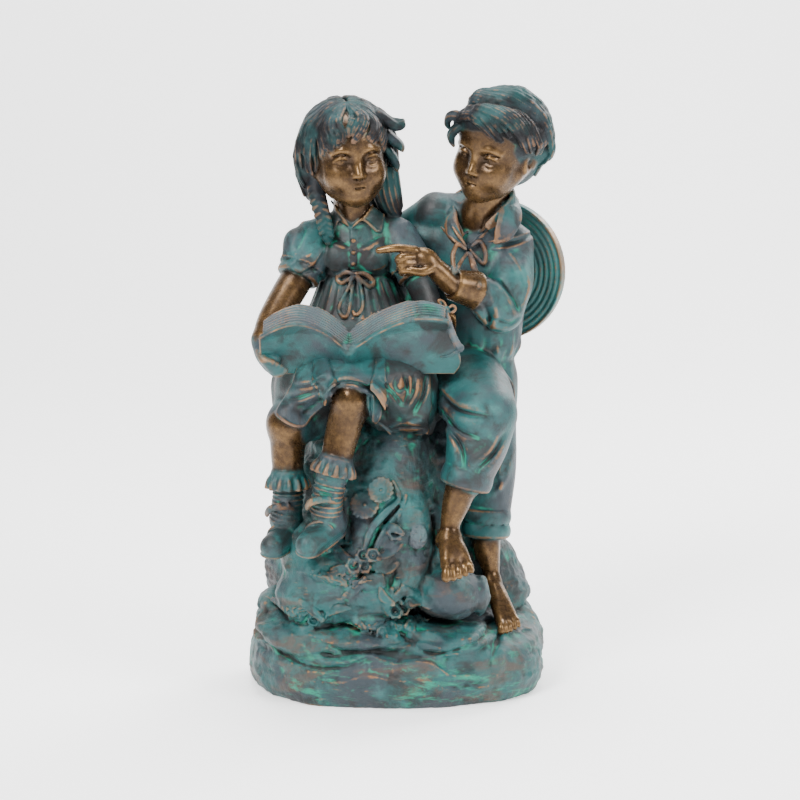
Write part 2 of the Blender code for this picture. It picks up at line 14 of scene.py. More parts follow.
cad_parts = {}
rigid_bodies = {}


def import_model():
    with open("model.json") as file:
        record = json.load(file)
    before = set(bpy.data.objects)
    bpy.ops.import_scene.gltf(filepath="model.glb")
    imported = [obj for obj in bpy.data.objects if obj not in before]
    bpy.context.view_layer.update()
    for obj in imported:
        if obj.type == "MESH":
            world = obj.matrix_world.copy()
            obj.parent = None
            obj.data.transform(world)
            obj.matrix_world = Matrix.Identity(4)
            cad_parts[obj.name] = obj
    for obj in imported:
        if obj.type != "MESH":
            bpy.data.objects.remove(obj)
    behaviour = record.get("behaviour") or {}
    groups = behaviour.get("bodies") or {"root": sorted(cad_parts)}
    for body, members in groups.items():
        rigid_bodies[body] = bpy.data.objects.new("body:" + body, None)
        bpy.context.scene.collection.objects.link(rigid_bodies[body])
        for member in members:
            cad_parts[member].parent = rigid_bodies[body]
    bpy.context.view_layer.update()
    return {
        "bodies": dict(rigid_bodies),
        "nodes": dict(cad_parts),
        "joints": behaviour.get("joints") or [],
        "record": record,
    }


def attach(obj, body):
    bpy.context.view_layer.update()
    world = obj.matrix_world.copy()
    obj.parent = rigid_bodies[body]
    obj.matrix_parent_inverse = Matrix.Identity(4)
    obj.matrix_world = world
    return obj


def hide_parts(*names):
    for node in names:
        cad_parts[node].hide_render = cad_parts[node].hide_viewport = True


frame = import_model()

MM = 0.001
FAR = 6.0
EVERYWHERE = ((-500, -500, -500), (500, 500, 500))
FORWARD = (0, 1, 0)
FRONT = -90
ROCK_FRONT = (-80, -6)
LAP_FRONT = (-90, -8)
CHEST_FRONT = (-40, 2)
PUFF_FRONT = (-40, 6)
SHIRT_FRONT = (-30, 26)
SLEEVE_FRONT = (-40, 14)
KNEE_FRONT = (-80, 6)
SHANK_FRONT = (-20, 24)
COARSE = 1.0

# Finishes, as painted on the clay; the last one is painted shade, dark cloth laid where shade falls
CLOTH, SKIN, HAIR, ROCK, BLOOM, STRAW, PAGES, PAINTED_SHADE = range(8)
FINISHES = ("cloth", "skin", "hair", "rock", "bloom", "straw", "pages", "painted_shade")

# Each piece's block of clay and how finely it is cut; the triangles are under a million in all
PIECES = {
    # low corner, high corner, grain, triangles
    "rock_and_base": ((-101, -78, -3), (101, 77, 190), 0.9, 180000),
    "girl_figure": ((-98, -80, 88), (36, 58, 332), 0.8, 175000),
    "boy_figure": ((-46, -80, 30), (94, 46, 328), 0.8, 175000),
    "girl_head": ((-37, -34, -44), (41, 38, 42), 0.55, 125000),
    "boy_head": ((-40, -42, -44), (42, 42, 45), 0.55, 125000),
    "open_book": ((-60, -8, -10), (78, 40, 44), 0.6, 105000),
    "straw_hat": ((-49, -49, -26), (49, 49, 12), 0.7, 95000),
}

# Measures of the surface: name, blur in millimetres and the depth that counts as one
MEASURES = (("wear", 1.3, 0.28), ("hollow", 3.6, 0.95))

# Camera of the photograph
VIEW_AIM = Vector((0.0022, 0.0, 0.184))
VIEW_DISTANCE = 1.6
VIEW_ELEVATION = math.radians(10.0)
VIEW_LENS = 113.2
SENSOR_WIDTH = 36.0

# Joints of each child, in millimetres
GIRL = {
    "head": (-30, -3, 341), "facing": (0.26, -0.95, -0.12), "crown": (-0.08, 0.0, 1.0),
    "neck_top": (-28, 0, 318), "neck": (-26, 3, 299), "pelvis": (-24, 12, 203),
    "shoulder_near": (-50, 4, 288), "elbow_near": (-63, -9, 262), "wrist_near": (-81, -40, 234),
    "shoulder_far": (0, 6, 289), "elbow_far": (13, -5, 263), "wrist_far": (22, -28, 245),
    "hip_far": (-12, 8, 197), "knee_far": (-28, -54, 194), "ankle_far": (-42, -58, 137),
    "toe_far": (-54, -70, 106),
    "hip_near": (-39, 8, 193), "knee_near": (-68, -36, 174), "ankle_near": (-68, -36, 128),
    "toe_near": (-77, -50, 100), "side": (8, 22, 262),
}
BOY = {
    "head": (62, 3, 343), "facing": (-0.56, -0.81, -0.16), "crown": (0.27, 0.04, 0.96),
    "shoulder_back": (25, 20, 302), "elbow_back": (-2, 33, 286), "hand_back": (-34, 27, 288),
    "shoulder_front": (73, 12, 282), "elbow_front": (66, -10, 243),
    "cuff_front": (50, -25, 257.5), "wrist_front": (34.5, -34, 262.5),
    "hip_bent": (40, 12, 198), "knee_bent": (54, -38, 182), "ankle_bent": (33, -43, 104),
    "toe_bent": (39.5, -64, 84.5),
    "hip_straight": (60, 18, 194), "knee_straight": (62, 12, 138),
    "ankle_straight": (61, -1, 66), "toe_straight": (73, -30, 41),
}


def vec(point):
    return np.array(point, dtype=np.float64)


def mix(start, end, share):
    """The point that lies a share of the way from start to end."""
    return vec(start) * (1.0 - share) + vec(end) * share


def radians(*angles):
    return [math.radians(angle) for angle in angles]


def smooth_path(points, steps=5):
    """Points along a curve that passes through the given ones."""
    knots = np.array(points, dtype=np.float64)
    ends = np.vstack([2 * knots[0] - knots[1], knots, 2 * knots[-1] - knots[-2]])
    path = []
    for a, b, c, d in zip(ends, ends[1:], ends[2:], ends[3:]):
        for step in range(steps):
            t = step / steps
            bend = (c - a) * t + (2 * a - 5 * b + 4 * c - d) * t * t
            bend = bend + (3 * b - a - 3 * c + d) * t * t * t
            path.append(b + bend * 0.5)
    path.append(knots[-1])
    return np.array(path)


def turned(turn):
    """Rotation matrix for degrees about X, then Y, then Z."""
    x, y, z = radians(*turn)
    spin = Matrix.Rotation(z, 3, "Z") @ Matrix.Rotation(y, 3, "Y") @ Matrix.Rotation(x, 3, "X")
    return np.array(spin)


# Large primes that scramble a lattice point into a number
AXIS_PRIMES = (73856093, 19349663, 83492791)
SEED_PRIME = 2654435761
MIXING_PRIME = 1274126177


def lattice_noise(x, y, z, seed):
    """Smooth noise from -1 to 1 on a lattice one unit wide."""
    cells = [np.floor(axis).astype(np.int64) for axis in (x, y, z)]
    shares = [(axis - cell).astype(np.float32) for axis, cell in zip((x, y, z), cells)]
    shares = [share * share * (3 - 2 * share) for share in shares]
    total = 0.0
    for corner in range(8):
        steps = [(corner >> axis) & 1 for axis in range(3)]
        mixed = seed * SEED_PRIME
        for cell, step, prime in zip(cells, steps, AXIS_PRIMES):
            mixed = mixed ^ (cell + step) * prime
        mixed = (mixed ^ (mixed >> 13)) * MIXING_PRIME
        mixed = (mixed ^ (mixed >> 16)) & 0xFFFF
        value = mixed.astype(np.float32) / 32767.5 - 1.0
        for share, step in zip(shares, steps):
            value = value * (share if step else 1.0 - share)
        total = total + value
    return total


class Clay:
    """A block of clay kept as distances to its surface, in millimetres."""

    def __init__(self, name):
        self.name = name
        low, high, grain, self.triangles = PIECES[name]
        self.grain = grain * COARSE
        self.low = vec(low)
        count = np.ceil((vec(high) - self.low) / self.grain).astype(int) + 1
        self.field = np.full(tuple(count), FAR, dtype=np.float32)
        self.paint = np.zeros(tuple(count), dtype=np.uint8)
        self.axes = [(self.low[i] + self.grain * np.arange(count[i])).astype(np.float32)
                     for i in range(3)]

    def window(self, low, high):
        """Index slices of the box from low to high, cut to the block."""
        start = np.floor((vec(low) - self.low) / self.grain).astype(int)
        stop = np.ceil((vec(high) - self.low) / self.grain).astype(int) + 1
        start = np.clip(start, 0, self.field.shape)
        stop = np.clip(stop, 0, self.field.shape)
        return tuple(slice(a, b) for a, b in zip(start, stop))

    def grid(self, window):
        """The x, y and z of a window's cells, each ready to broadcast."""
        x, y, z = [axis[part] for axis, part in zip(self.axes, window)]
        return x[:, None, None], y[None, :, None], z[None, None, :]

    def empty(self, window):
        return any(part.stop <= part.start for part in window)

    def join(self, window, shape, blend, paint):
        """Smooth union of a lump's distances with the clay."""
        old = self.field[window]
        near = np.maximum(blend - np.abs(old - shape), 0.0)
        if paint is not None:
            self.paint[window][shape < old] = paint
        self.field[window] = np.minimum(old, shape) - near * near * (0.25 / max(blend, 0.01))

    def carve(self, window, shape, blend):
        """Smooth removal of a lump from the clay."""
        old = self.field[window]
        near = np.maximum(blend - np.abs(old + shape), 0.0)
        self.field[window] = np.maximum(old, -shape) + near * near * (0.25 / max(blend, 0.01))

    def place(self, window, shape, blend, paint, cut):
        """Join a lump to the clay, or cut it out."""
        if cut:
            self.carve(window, shape, blend)
        else:
            self.join(window, shape, blend, paint)

    def ball(self, center, radii, turn=None, blend=2.0, paint=CLOTH, cut=False, wave=None):
        """An ellipsoid; wave(x, y, z) in its own directions adds to the distance."""
        center, radii = vec(center), vec(radii)
        reach = max(radii) if turn is not None else radii
        window = self.window(center - reach - blend - 2, center + reach + blend + 2)
        if self.empty(window):
            return
        x, y, z = self.grid(window)
        x, y, z = x - center[0], y - center[1], z - center[2]
        if turn is not None:
            spin = turned(turn) if len(np.shape(turn)) == 1 else np.array(turn)
            x, y, z = [spin[0, i] * x + spin[1, i] * y + spin[2, i] * z for i in range(3)]
        inner = (x / radii[0]) ** 2 + (y / radii[1]) ** 2 + (z / radii[2]) ** 2
        slope = (x / radii[0] ** 2) ** 2 + (y / radii[1] ** 2) ** 2 + (z / radii[2] ** 2) ** 2
        inner = np.sqrt(inner)
        shape = inner * (inner - 1.0) / np.sqrt(slope + 1e-9)
        shape = np.where(inner < 0.3, -0.7 * min(radii), shape)
        if wave is not None:
            shape = shape + wave(x, y, z)
        self.place(window, shape.astype(np.float32), blend, paint, cut)

    def limb(self, points, radii, blend=2.0, paint=CLOTH, cut=False, flat=1.0, facing=None,
             strands=0, strand_depth=0.35, rib=0.0, rib_depth=0.4, steps=5):
        """A round-ended tube along a smooth path. flat thins it along facing, strands cut
        lines along it, and rib is the pitch of the rings round it."""
        path = smooth_path(points, steps)
        sizes = smooth_path([(radius, 0.0) for radius in radii], steps)[:, 0]
        sizes = np.maximum(sizes, 0.15)
        reach = sizes.max() + blend + 1.5
        window = self.window(path.min(0) - reach, path.max(0) + reach)
        if self.empty(window):
            return
        shape = np.full(tuple(part.stop - part.start for part in window), FAR * 2, np.float32)
        travelled = 0.0
        for a, b, size_a, size_b in zip(path, path[1:], sizes, sizes[1:]):
            along = b - a
            length = np.linalg.norm(along)
            if length < 1e-6:
                continue
            along = along / length
            part = self.window(np.minimum(a, b) - reach, np.maximum(a, b) + reach)
            if self.empty(part):
                continue
            x, y, z = self.grid(part)
            x, y, z = x - a[0], y - a[1], z - a[2]
            run = np.clip(x * along[0] + y * along[1] + z * along[2], 0.0, length)
            x, y, z = x - run * along[0], y - run * along[1], z - run * along[2]
            size = size_a + (size_b - size_a) * run / length
            away = x * x + y * y + z * z
            if facing is not None:
                normal = facing(0.5 * (a + b)) if callable(facing) else vec(facing)
                normal = normal - along * normal.dot(along)
                normal = normal / (np.linalg.norm(normal) + 1e-9)
                lift = x * normal[0] + y * normal[1] + z * normal[2]
                away = away + lift * lift * (1.0 / (flat * flat) - 1.0)
            gap = np.sqrt(away) - size
            if strands:
                across = np.cross(along, normal)
                slide = x * across[0] + y * across[1] + z * across[2]
                gap = gap + strand_depth * np.cos(slide * (math.pi * strands) / size)
            if rib:
                gap = gap + rib_depth * np.cos((run + travelled) * (2 * math.pi / rib))
            local = tuple(slice(s.start - w.start, s.stop - w.start)
                          for s, w in zip(part, window))
            shape[local] = np.minimum(shape[local], gap)
            travelled += length
        self.place(window, shape, blend, paint, cut)

    def stack(self, levels, power=2.0, ripple=None, arch=None, blend=2.0, paint=CLOTH,
              frame=None):
        """Level oval sections (height, x, y, half width, half depth), top or bottom first.
        ripple(angle, height) swells them and arch(angle) lifts them."""
        levels = np.array(sorted(levels, key=lambda level: level[0]), dtype=np.float64)
        dense = smooth_path(levels, 6)
        widest = max(levels[:, 3].max(), levels[:, 4].max()) + 6.0
        corners = np.array([(level[1] + side * widest, level[2] + back * widest, level[0])
                            for level in levels for side in (-1, 1) for back in (-1, 1)])
        spin, origin = (np.eye(3), np.zeros(3)) if frame is None else frame
        corners = corners @ spin.T + origin
        pad = blend + 26.0 if arch else blend + 3.0
        window = self.window(corners.min(0) - pad, corners.max(0) + pad)
        if self.empty(window):
            return
        x, y, z = self.grid(window)
        x, y, z = x - origin[0], y - origin[1], z - origin[2]
        x, y, z = [spin[0, i] * x + spin[1, i] * y + spin[2, i] * z for i in range(3)]
        x, y, z = np.broadcast_arrays(x, y, z)
        z = z.astype(np.float32)
        if arch is not None:
            middle = levels[:, 1:3].mean(0)
            z = z - arch(np.arctan2(y - middle[1], x - middle[0]), z)
        order = np.argsort(dense[:, 0])
        dense = dense[order]
        where = [np.interp(z, dense[:, 0], dense[:, i]).astype(np.float32) for i in range(1, 5)]
        x, y = x - where[0], y - where[1]
        inner = (np.abs(x / where[2]) ** power + np.abs(y / where[3]) ** power) ** (1.0 / power)
        away = np.sqrt(x * x + y * y)
        shape = away * (1.0 - 1.0 / np.maximum(inner, 0.05))
        shape = np.where(inner < 0.3, -0.5 * np.minimum(where[2], where[3]), shape)
        if ripple is not None:
            shape = shape - ripple(np.arctan2(y, x), z)
        shape = np.maximum(shape, np.maximum(levels[0, 0] - z, z - levels[-1, 0]))
        self.join(window, shape.astype(np.float32), blend, paint)

    def strokes(self, lines, width, height, depth_range):
        """Soft ridges (or grooves, when height is below zero) drawn on the clay along
        lines of (x, z) points, as seen from the front."""
        for line in lines:
            path = smooth_path(line, 5)
            reach = width * 2.6
            low = (path[:, 0].min() - reach, depth_range[0], path[:, 1].min() - reach)
            high = (path[:, 0].max() + reach, depth_range[1], path[:, 1].max() + reach)
            window = self.window(low, high)
            if self.empty(window):
                continue
            x, _, z = self.grid(window)
            x, z = x[:, 0, :], z[:, 0, :]
            nearest = np.full(np.broadcast(x, z).shape, 1e3, np.float32)
            fade = np.ones_like(nearest)
            total = len(path) - 1
            for index, (a, b) in enumerate(zip(path, path[1:])):
                along = b - a
                length = np.linalg.norm(along) + 1e-6
                along = along / length
                run = np.clip((x - a[0]) * along[0] + (z - a[1]) * along[1], 0, length)
                gap = np.hypot(x - a[0] - run * along[0], z - a[1] - run * along[1])
                closer = gap < nearest
                nearest = np.where(closer, gap, nearest)
                share = (index + run / length) / total
                ends = np.sin(math.pi * np.clip(share * 0.9 + 0.05, 0, 1)) ** 0.5
                fade = np.where(closer, ends, fade)
            bump = (height * fade * np.exp(-(nearest / width) ** 2)).astype(np.float32)
            self.field[window] -= bump[:, None, :]

    def overlay(self, outline, height, depth_range, paint=None, soft=0.5):
        """A flat layer of the given height laid on the clay inside an outline of (x, z)."""
        outline = np.array(outline, dtype=np.float64)
        low = (outline[:, 0].min() - 2, depth_range[0], outline[:, 1].min() - 2)
        high = (outline[:, 0].max() + 2, depth_range[1], outline[:, 1].max() + 2)
        window = self.window(low, high)
        if self.empty(window):
            return
        x, _, z = self.grid(window)
        edge = outline_distance(x[:, 0, :], z[:, 0, :], outline).astype(np.float32)
        layer = np.maximum(self.field[window] - height, edge[:, None, :])
        self.join(window, layer, soft, paint)

    def roughen(self, size, height, seed, stretch=(1, 1, 1), ridged=False):
        """Noise lumps of that size and height on the surface."""
        spots = np.nonzero(np.abs(self.field) < FAR * 0.6)
        x, y, z = [axis[spot] / (size * factor)
                   for axis, spot, factor in zip(self.axes, spots, stretch)]
        bumps = lattice_noise(x, y, z, seed)
        if ridged:
            bumps = 1.0 - 2.0 * np.abs(bumps)
        self.field[spots] -= (height * bumps).astype(np.float32)

    def surface(self, point, aim):
        """Where a ray from point along aim first meets the clay."""
        point, aim = vec(point), vec(aim) / np.linalg.norm(aim)
        for _ in range(600):
            spot = np.rint((point - self.low) / self.grain).astype(int)
            inside = np.all(spot >= 0) and np.all(spot < self.field.shape)
            if inside and self.field[tuple(spot)] <= 0.0:
                return point
            point = point + aim * self.grain * 0.5
        return point

    def blurred(self, radius):
        """The field averaged over a cube of that half width."""
        count = max(1, int(round(radius / self.grain)))
        result = np.clip(self.field, -FAR * 0.5, FAR * 0.5)
        for axis in range(3):
            pad = [(0, 0)] * 3
            pad[axis] = (count + 1, count)
            total = np.cumsum(np.pad(result, pad, mode="edge"), axis=axis, dtype=np.float32)
            span = 2 * count + 1
            high = np.take(total, range(span, total.shape[axis]), axis=axis)
            low = np.take(total, range(0, total.shape[axis] - span), axis=axis)
            result = (high - low) / span
        return result

    def piece(self, place=None):
        """The clay as a mesh object in metres, with its wear and finish attributes."""
        grid = openvdb.FloatGrid(FAR)
        grid.copyFromArray(np.ascontiguousarray(self.field))
        points, _, quads = [np.array(part) for part in grid.convertToPolygons(0.0, 0.0)]
        quads = quads.reshape(-1, 4)[:, ::-1]
        mesh = bpy.data.meshes.new(self.name)
        mesh.vertices.add(len(points))
        mesh.loops.add(quads.size)
        mesh.polygons.add(len(quads))
        real = points * self.grain + self.low
        mesh.vertices.foreach_set("co", (real * MM).astype(np.float32).ravel())
        mesh.loops.foreach_set("vertex_index", quads.astype(np.int32).ravel())
        mesh.polygons.foreach_set("loop_start", np.arange(len(quads), dtype=np.int32) * 4)
        mesh.polygons.foreach_set("loop_total", np.full(len(quads), 4, dtype=np.int32))
        mesh.update(calc_edges=True)
        self.mark(mesh, points)
        if place is not None:
            mesh.transform(place)
        mesh.shade_smooth()
        model = bpy.data.objects.new(self.name, mesh)
        bpy.context.collection.objects.link(model)
        triangles = 2 * len(quads)
        if triangles > self.triangles:
            thin = model.modifiers.new("thin", "DECIMATE")
            thin.ratio = self.triangles / triangles
        return model

    def mark(self, mesh, points):
        """Float attributes: wear on edges, hollow in creases, and one for each finish."""
        limit = np.array(self.field.shape) - 1
        spots = tuple(np.clip(np.rint(points).astype(int), 0, limit).T)
        for name, radius, scale in MEASURES:
            value = sample(self.blurred(radius) - self.field, points) / scale
            put(mesh, name, np.clip(value, -1.5, 1.5))
        edges = np.empty(len(mesh.edges) * 2, dtype=np.int32)
        mesh.edges.foreach_get("vertices", edges)
        edges = edges.reshape(-1, 2)
        labels = self.paint[spots]
        for index in np.unique(labels):
            mask = (labels == index).astype(np.float32)
            for _ in range(3):
                mask = spread(mask, edges)
            put(mesh, FINISHES[index], mask)


def sample(block, points):
    """Values of a block at fractional indices."""
    limit = np.array(block.shape) - 2
    cells = np.clip(np.floor(points).astype(int), 0, limit)
    shares = np.clip(points - cells, 0, 1).astype(np.float32)
    total = np.zeros(len(points), dtype=np.float32)
    for corner in range(8):
        steps = [(corner >> axis) & 1 for axis in range(3)]
        weight = np.ones(len(points), dtype=np.float32)
        for axis, step in enumerate(steps):
            weight *= shares[:, axis] if step else 1.0 - shares[:, axis]
        total += weight * block[tuple((cells + steps).T)]
    return total


def spread(values, edges):
    """Each value averaged with its neighbours along the mesh's edges."""
    total = values.copy()
    count = np.ones_like(values)
    for a, b in ((0, 1), (1, 0)):
        total += np.bincount(edges[:, a], values[edges[:, b]], len(values)).astype(np.float32)
        count += np.bincount(edges[:, a], minlength=len(values))
    return total / count


def put(mesh, name, values):
    """Store one number a vertex under that name."""
    mesh.attributes.new(name, "FLOAT", "POINT").data.foreach_set("value", values.astype(np.float32))


def outline_distance(x, z, outline):
    """Signed distance to a closed outline in the plane, below zero inside."""
    nearest = np.full(np.broadcast(x, z).shape, 1e6)
    inside = np.zeros(nearest.shape, dtype=bool)
    for a, b in zip(outline, np.roll(outline, -1, axis=0)):
        along = b - a
        run = ((x - a[0]) * along[0] + (z - a[1]) * along[1]) / (along.dot(along) + 1e-9)
        run = np.clip(run, 0, 1)
        gap = (x - a[0] - run * along[0]) ** 2 + (z - a[1] - run * along[1]) ** 2
        nearest = np.minimum(nearest, gap)
        crosses = (a[1] > z) != (b[1] > z)
        step = b[1] - a[1] if abs(b[1] - a[1]) > 1e-9 else 1e-9
        inside ^= crosses & (x < a[0] + (z - a[1]) / step * along[0])
    return np.where(inside, -1.0, 1.0) * np.sqrt(nearest)


# Rock and base

BASE_HALF_WIDTH = 95.5
BASE_HALF_DEPTH = 71.0
BASE_PROFILE = (
    # height, how far in from the half width, and from the half depth
    (-3, 9, 9), (2, 5, 5), (9, 1.6, 1.6), (18, 0, 0), (27, 1.5, 2.5), (34, 7, 10), (39, 22, 26),
)
GROUND_STONES = (
    # center, radii, turn
    ((0, 4, 28), (86, 62, 20), (0, 0, 0)),
    ((-60, -4, 42), (29, 50, 20), (0, -4, 10)),
    ((62, 12, 31), (32, 50, 15), (0, 6, -8)),
    ((60, 36, 52), (27, 28, 20), (0, 8, 0)),
    ((-34, -36, 40), (54, 30, 13), (0, 0, -6)),
    ((26, -38, 38), (36, 28, 12), (0, 0, 6)),
    ((-8, 34, 46), (66, 32, 32), (0, 0, 0)),
)
CORE_STONES = (
    ((-23, 8, 100), (46, 42, 78), (0, 0, 0)),
    ((-3, -10, 134), (30, 33, 44), (0, 4, 0)),
    ((-8, -16, 104), (33, 33, 54), (6, 0, 0)),
    ((26, 22, 118), (24, 30, 60), (0, 0, 0)),
    ((50, 34, 60), (30, 28, 36), (0, 0, 0)),
    ((-50, 20, 70), (34, 30, 34), (0, 0, 0)),
)
BOULDERS = (
    ((-54, -22, 96), (21.5, 27, 20), (0, 10, 0)),
    ((-42, -33, 67), (33, 29, 18), (0, 4, 0)),
    ((-42, -34, 84), (27, 25, 13), (0, 4, 0)),
    ((-14, -32, 94), (19, 22, 22), (0, 0, 0)),
    ((-10, -42, 67), (17, 17, 15), (0, -10, 0)),
    ((7, -32, 78), (17, 21, 22), (0, 0, 0)),
    ((10, -26, 112), (14, 20, 24), (0, 0, 0)),
    ((-24, -22, 122), (17, 18, 22), (0, 0, 0)),
)
FOOT_STONE = ((33, -38, 67), (21, 20.5, 17.5), (0, 4, 0))
SMALL_STONES = (((52, -34, 64), (6.5, 11, 13)), ((22, -58, 44), (9, 7, 6)), ((-4, -60, 43), (10, 7, 6)),
                ((-80, -10, 56), (8, 16, 8)))
POSTS = (((29, -24, 60), (28, -20, 110), (27, -8, 146)), ((22, -30, 60), (23, -26, 98), (25, -14, 128)))


def rock_and_base():
    """The oval base, its mound and the piled stones, with plants between them."""
    clay = Clay("rock_and_base")
    levels = [(height, 0, 0, BASE_HALF_WIDTH - inset, BASE_HALF_DEPTH - sunk)
              for height, inset, sunk in BASE_PROFILE]
    clay.stack(levels, power=2.35, blend=1, paint=ROCK)
    for center, radii, turn in GROUND_STONES:
        clay.ball(center, radii, turn, blend=8, paint=ROCK)
    for center, radii, turn in CORE_STONES:
        clay.ball(center, radii, turn, blend=9, paint=ROCK)
    for center, radii, turn in BOULDERS:
        clay.ball(center, radii, turn, blend=5.5, paint=ROCK)
    for post in POSTS:
        clay.limb(post, (9, 7, 5), blend=5, paint=ROCK)
    clay.ball(*FOOT_STONE, blend=2, paint=ROCK)
    for center, radii in SMALL_STONES:
        clay.ball(center, radii, blend=2, paint=ROCK)
    rock_ledges(clay)
    rock_cracks(clay)
    clay.roughen(24, 2.0, 1)
    clay.roughen(11, 0.9, 2, stretch=(1.3, 1.3, 0.8))
    clay.roughen(6.5, 0.6, 3, stretch=(1.6, 1.6, 0.8), ridged=True)
    clay.roughen(3.0, 0.5, 4, stretch=(0.8, 0.8, 1.5))
    plants(clay)
    height = clay.grid(clay.window(*EVERYWHERE))[2]
    clay.field = np.maximum(clay.field, -height)
    return clay.piece()


def rock_ledges(clay):
    """Broken terraces round the base, as thin layers of stone that step out and in."""
    window = clay.window((-110, -90, 2), (110, 90, 72))
    near = np.abs(clay.field[window]) < FAR * 0.7
    spots = np.nonzero(near)
    px, py, pz = [axis[part][spot] for axis, part, spot in zip(clay.axes, window, spots)]
    tilt = pz + 0.08 * px + 8.0 * lattice_noise(px / 46, py / 46, pz / 60, 21)
    layer = tilt / 12.0 + 0.45 * lattice_noise(px / 18, py / 18, pz / 26, 22)
    saw = layer - np.floor(layer)
    step = np.where(saw < 0.8, saw / 0.8, (1.0 - saw) / 0.2)
    fade = np.clip((60 - pz) / 18, 0, 1) * np.clip((pz - 4) / 10, 0, 1)
    fade = fade * np.clip(0.55 + 1.5 * lattice_noise(px / 30, py / 30, pz / 24, 23), 0, 1)
    shift = (1.0 - step) * 2.2 * fade
    block = clay.field[window]
    block[spots] += shift.astype(np.float32) - 0.8 * fade.astype(np.float32)


CRACKS = (
    ((-92, 45), (-77.4, 35), (-66.1, 28.6), (-50.6, 25.4), (-35.1, 26.4), (-21.6, 29.6)),
    ((-70, 49), (-45.3, 41.9), (-30.8, 36.6), (-14.3, 37.7), (-4, 39.8)),
    ((2.2, 46.2), (10, 41), (14.6, 38), (24.9, 35.5), (47.6, 39.8), (60, 44)),
    ((-86, 62), (-76.3, 57), (-62.9, 49.4), (-45.3, 49.4), (-30.9, 51), (-12, 46), (2.2, 45.1)),
    ((12, 60), (18, 52), (30, 49), (45, 52), (54, 56)),
    ((62, 16), (59, 26), (63, 36), (68, 42)),
    ((20, 125), (22.1, 112.6), (24.3, 98.6), (20, 84.6), (14, 74)),
    ((0, 86), (-4, 74), (4, 64), (10, 56)),
)
LIPS = (
    ((-88, 47), (-74, 40), (-58, 32), (-44, 31), (-28, 33), (-14, 41), (-2, 43)),
    ((-60, 53), (-40, 46), (-26, 42), (-10, 43), (2, 48)),
    ((6, 50), (18, 43), (34, 41), (50, 45), (60, 49)),
    ((60, 47), (68, 40), (66, 28), (62, 18)),
    ((-30, 57), (-20, 53), (-8, 52)),
    ((-88, 56), (-80, 61), (-70, 60), (-60, 56)),
)


def rock_cracks(clay):
    """Cracks under the stones and the rounded lips above them, as seen from the front."""
    clay.strokes(LIPS, 3.0, 1.8, ROCK_FRONT)
    clay.strokes(CRACKS, 1.4, -1.8, ROCK_FRONT)


def on_rock(clay, x, z, normal, lift):
    """The heart of a flower held off the rock at (x, z), and two directions across it."""
    across = np.cross(normal, (0, 0, 1))
    across /= np.linalg.norm(across)
    return clay.surface((x, FRONT, z), FORWARD) + normal * lift, across, np.cross(across, normal)


def blossom(clay, x, z, radius, petals):
    """A shallow ray flower that faces up and out, on the rock at (x, z)."""
    normal = vec((-0.25, -0.85, 0.45))
    heart, across, up = on_rock(clay, x, z, normal, 1.6)
    for index in range(petals):
        angle = 2 * math.pi * index / petals
        out = across * math.cos(angle) + up * math.sin(angle)
        wide = 1.15 * math.pi * radius / petals
        path = (heart + out * radius * 0.15 - normal * 0.2, heart + out * radius * 0.6 + normal * 0.4,
                heart + out * radius + normal * 1.4)
        clay.limb(path, (wide * 0.45, wide * 0.85, wide * 0.95), blend=0.35, paint=BLOOM, flat=0.5,
                  facing=normal)
    clay.ball(heart + normal * 0.6, (radius * 0.16,) * 3, blend=0.4, paint=BLOOM)


BELL_PETALS, RIM_STEPS = 6, 24


def bell(clay, x, z, radius):
    """A small open flower: a scalloped cup with a dark hollow and a dot in it."""
    normal = vec((0.1, -0.85, 0.5))
    heart, across, up = on_rock(clay, x, z, normal, 1.2)
    clay.ball(heart, (radius,) * 3, blend=1.5, paint=BLOOM)
    ring = []
    for index in range(RIM_STEPS + 1):
        angle = 2 * math.pi * index / RIM_STEPS
        reach = radius * (0.92 + 0.04 * math.cos(angle * BELL_PETALS))
        out = across * math.cos(angle) + up * math.sin(angle)
        ring.append(heart + out * reach + normal * radius * 0.75)
    clay.limb(ring, (1.2,) * len(ring), blend=0.6, paint=BLOOM, steps=1)
    for index in range(BELL_PETALS):
        angle = 2 * math.pi * index / BELL_PETALS
        out = across * math.cos(angle) + up * math.sin(angle)
        clay.ball(heart + out * radius * 1.15 + normal * radius * 0.7, (radius * 0.34,) * 3, blend=0.9,
                  paint=BLOOM)
    clay.ball(heart + normal * radius * 1.1, (radius * 0.82,) * 3, blend=0.3, cut=True)
    clay.ball(heart + normal * radius * 0.6, (radius * 0.26,) * 3, blend=0.3, paint=BLOOM)


def leaf(clay, path, width, lift=1.0):
    """A blade that lies on the rock along a path of (x, z) points, with a midrib."""
    spots = drape(clay, path, lift)
    radii = [width * (0.35 + 0.65 * math.sin(math.pi * (0.12 + 0.8 * step / (len(path) - 1))))
             for step in range(len(path))]
    clay.limb(spots, radii, blend=0.6, paint=BLOOM, flat=0.4, facing=(0, -1, 0.3))
    clay.limb(spots, [0.5] * len(path), blend=0.3, paint=BLOOM)


def strap(clay, path, width):
    """A thick strap leaf that stands off the rock, along (x, z) points."""
    spots = drape(clay, path, 1.4)
    radii = [width * (0.5 + 0.5 * math.sin(math.pi * (0.15 + 0.8 * step / (len(path) - 1))))
             for step in range(len(path))]
    clay.limb(spots, radii, blend=0.5, paint=BLOOM, flat=0.7, facing=(0.3, -1, 0.2))


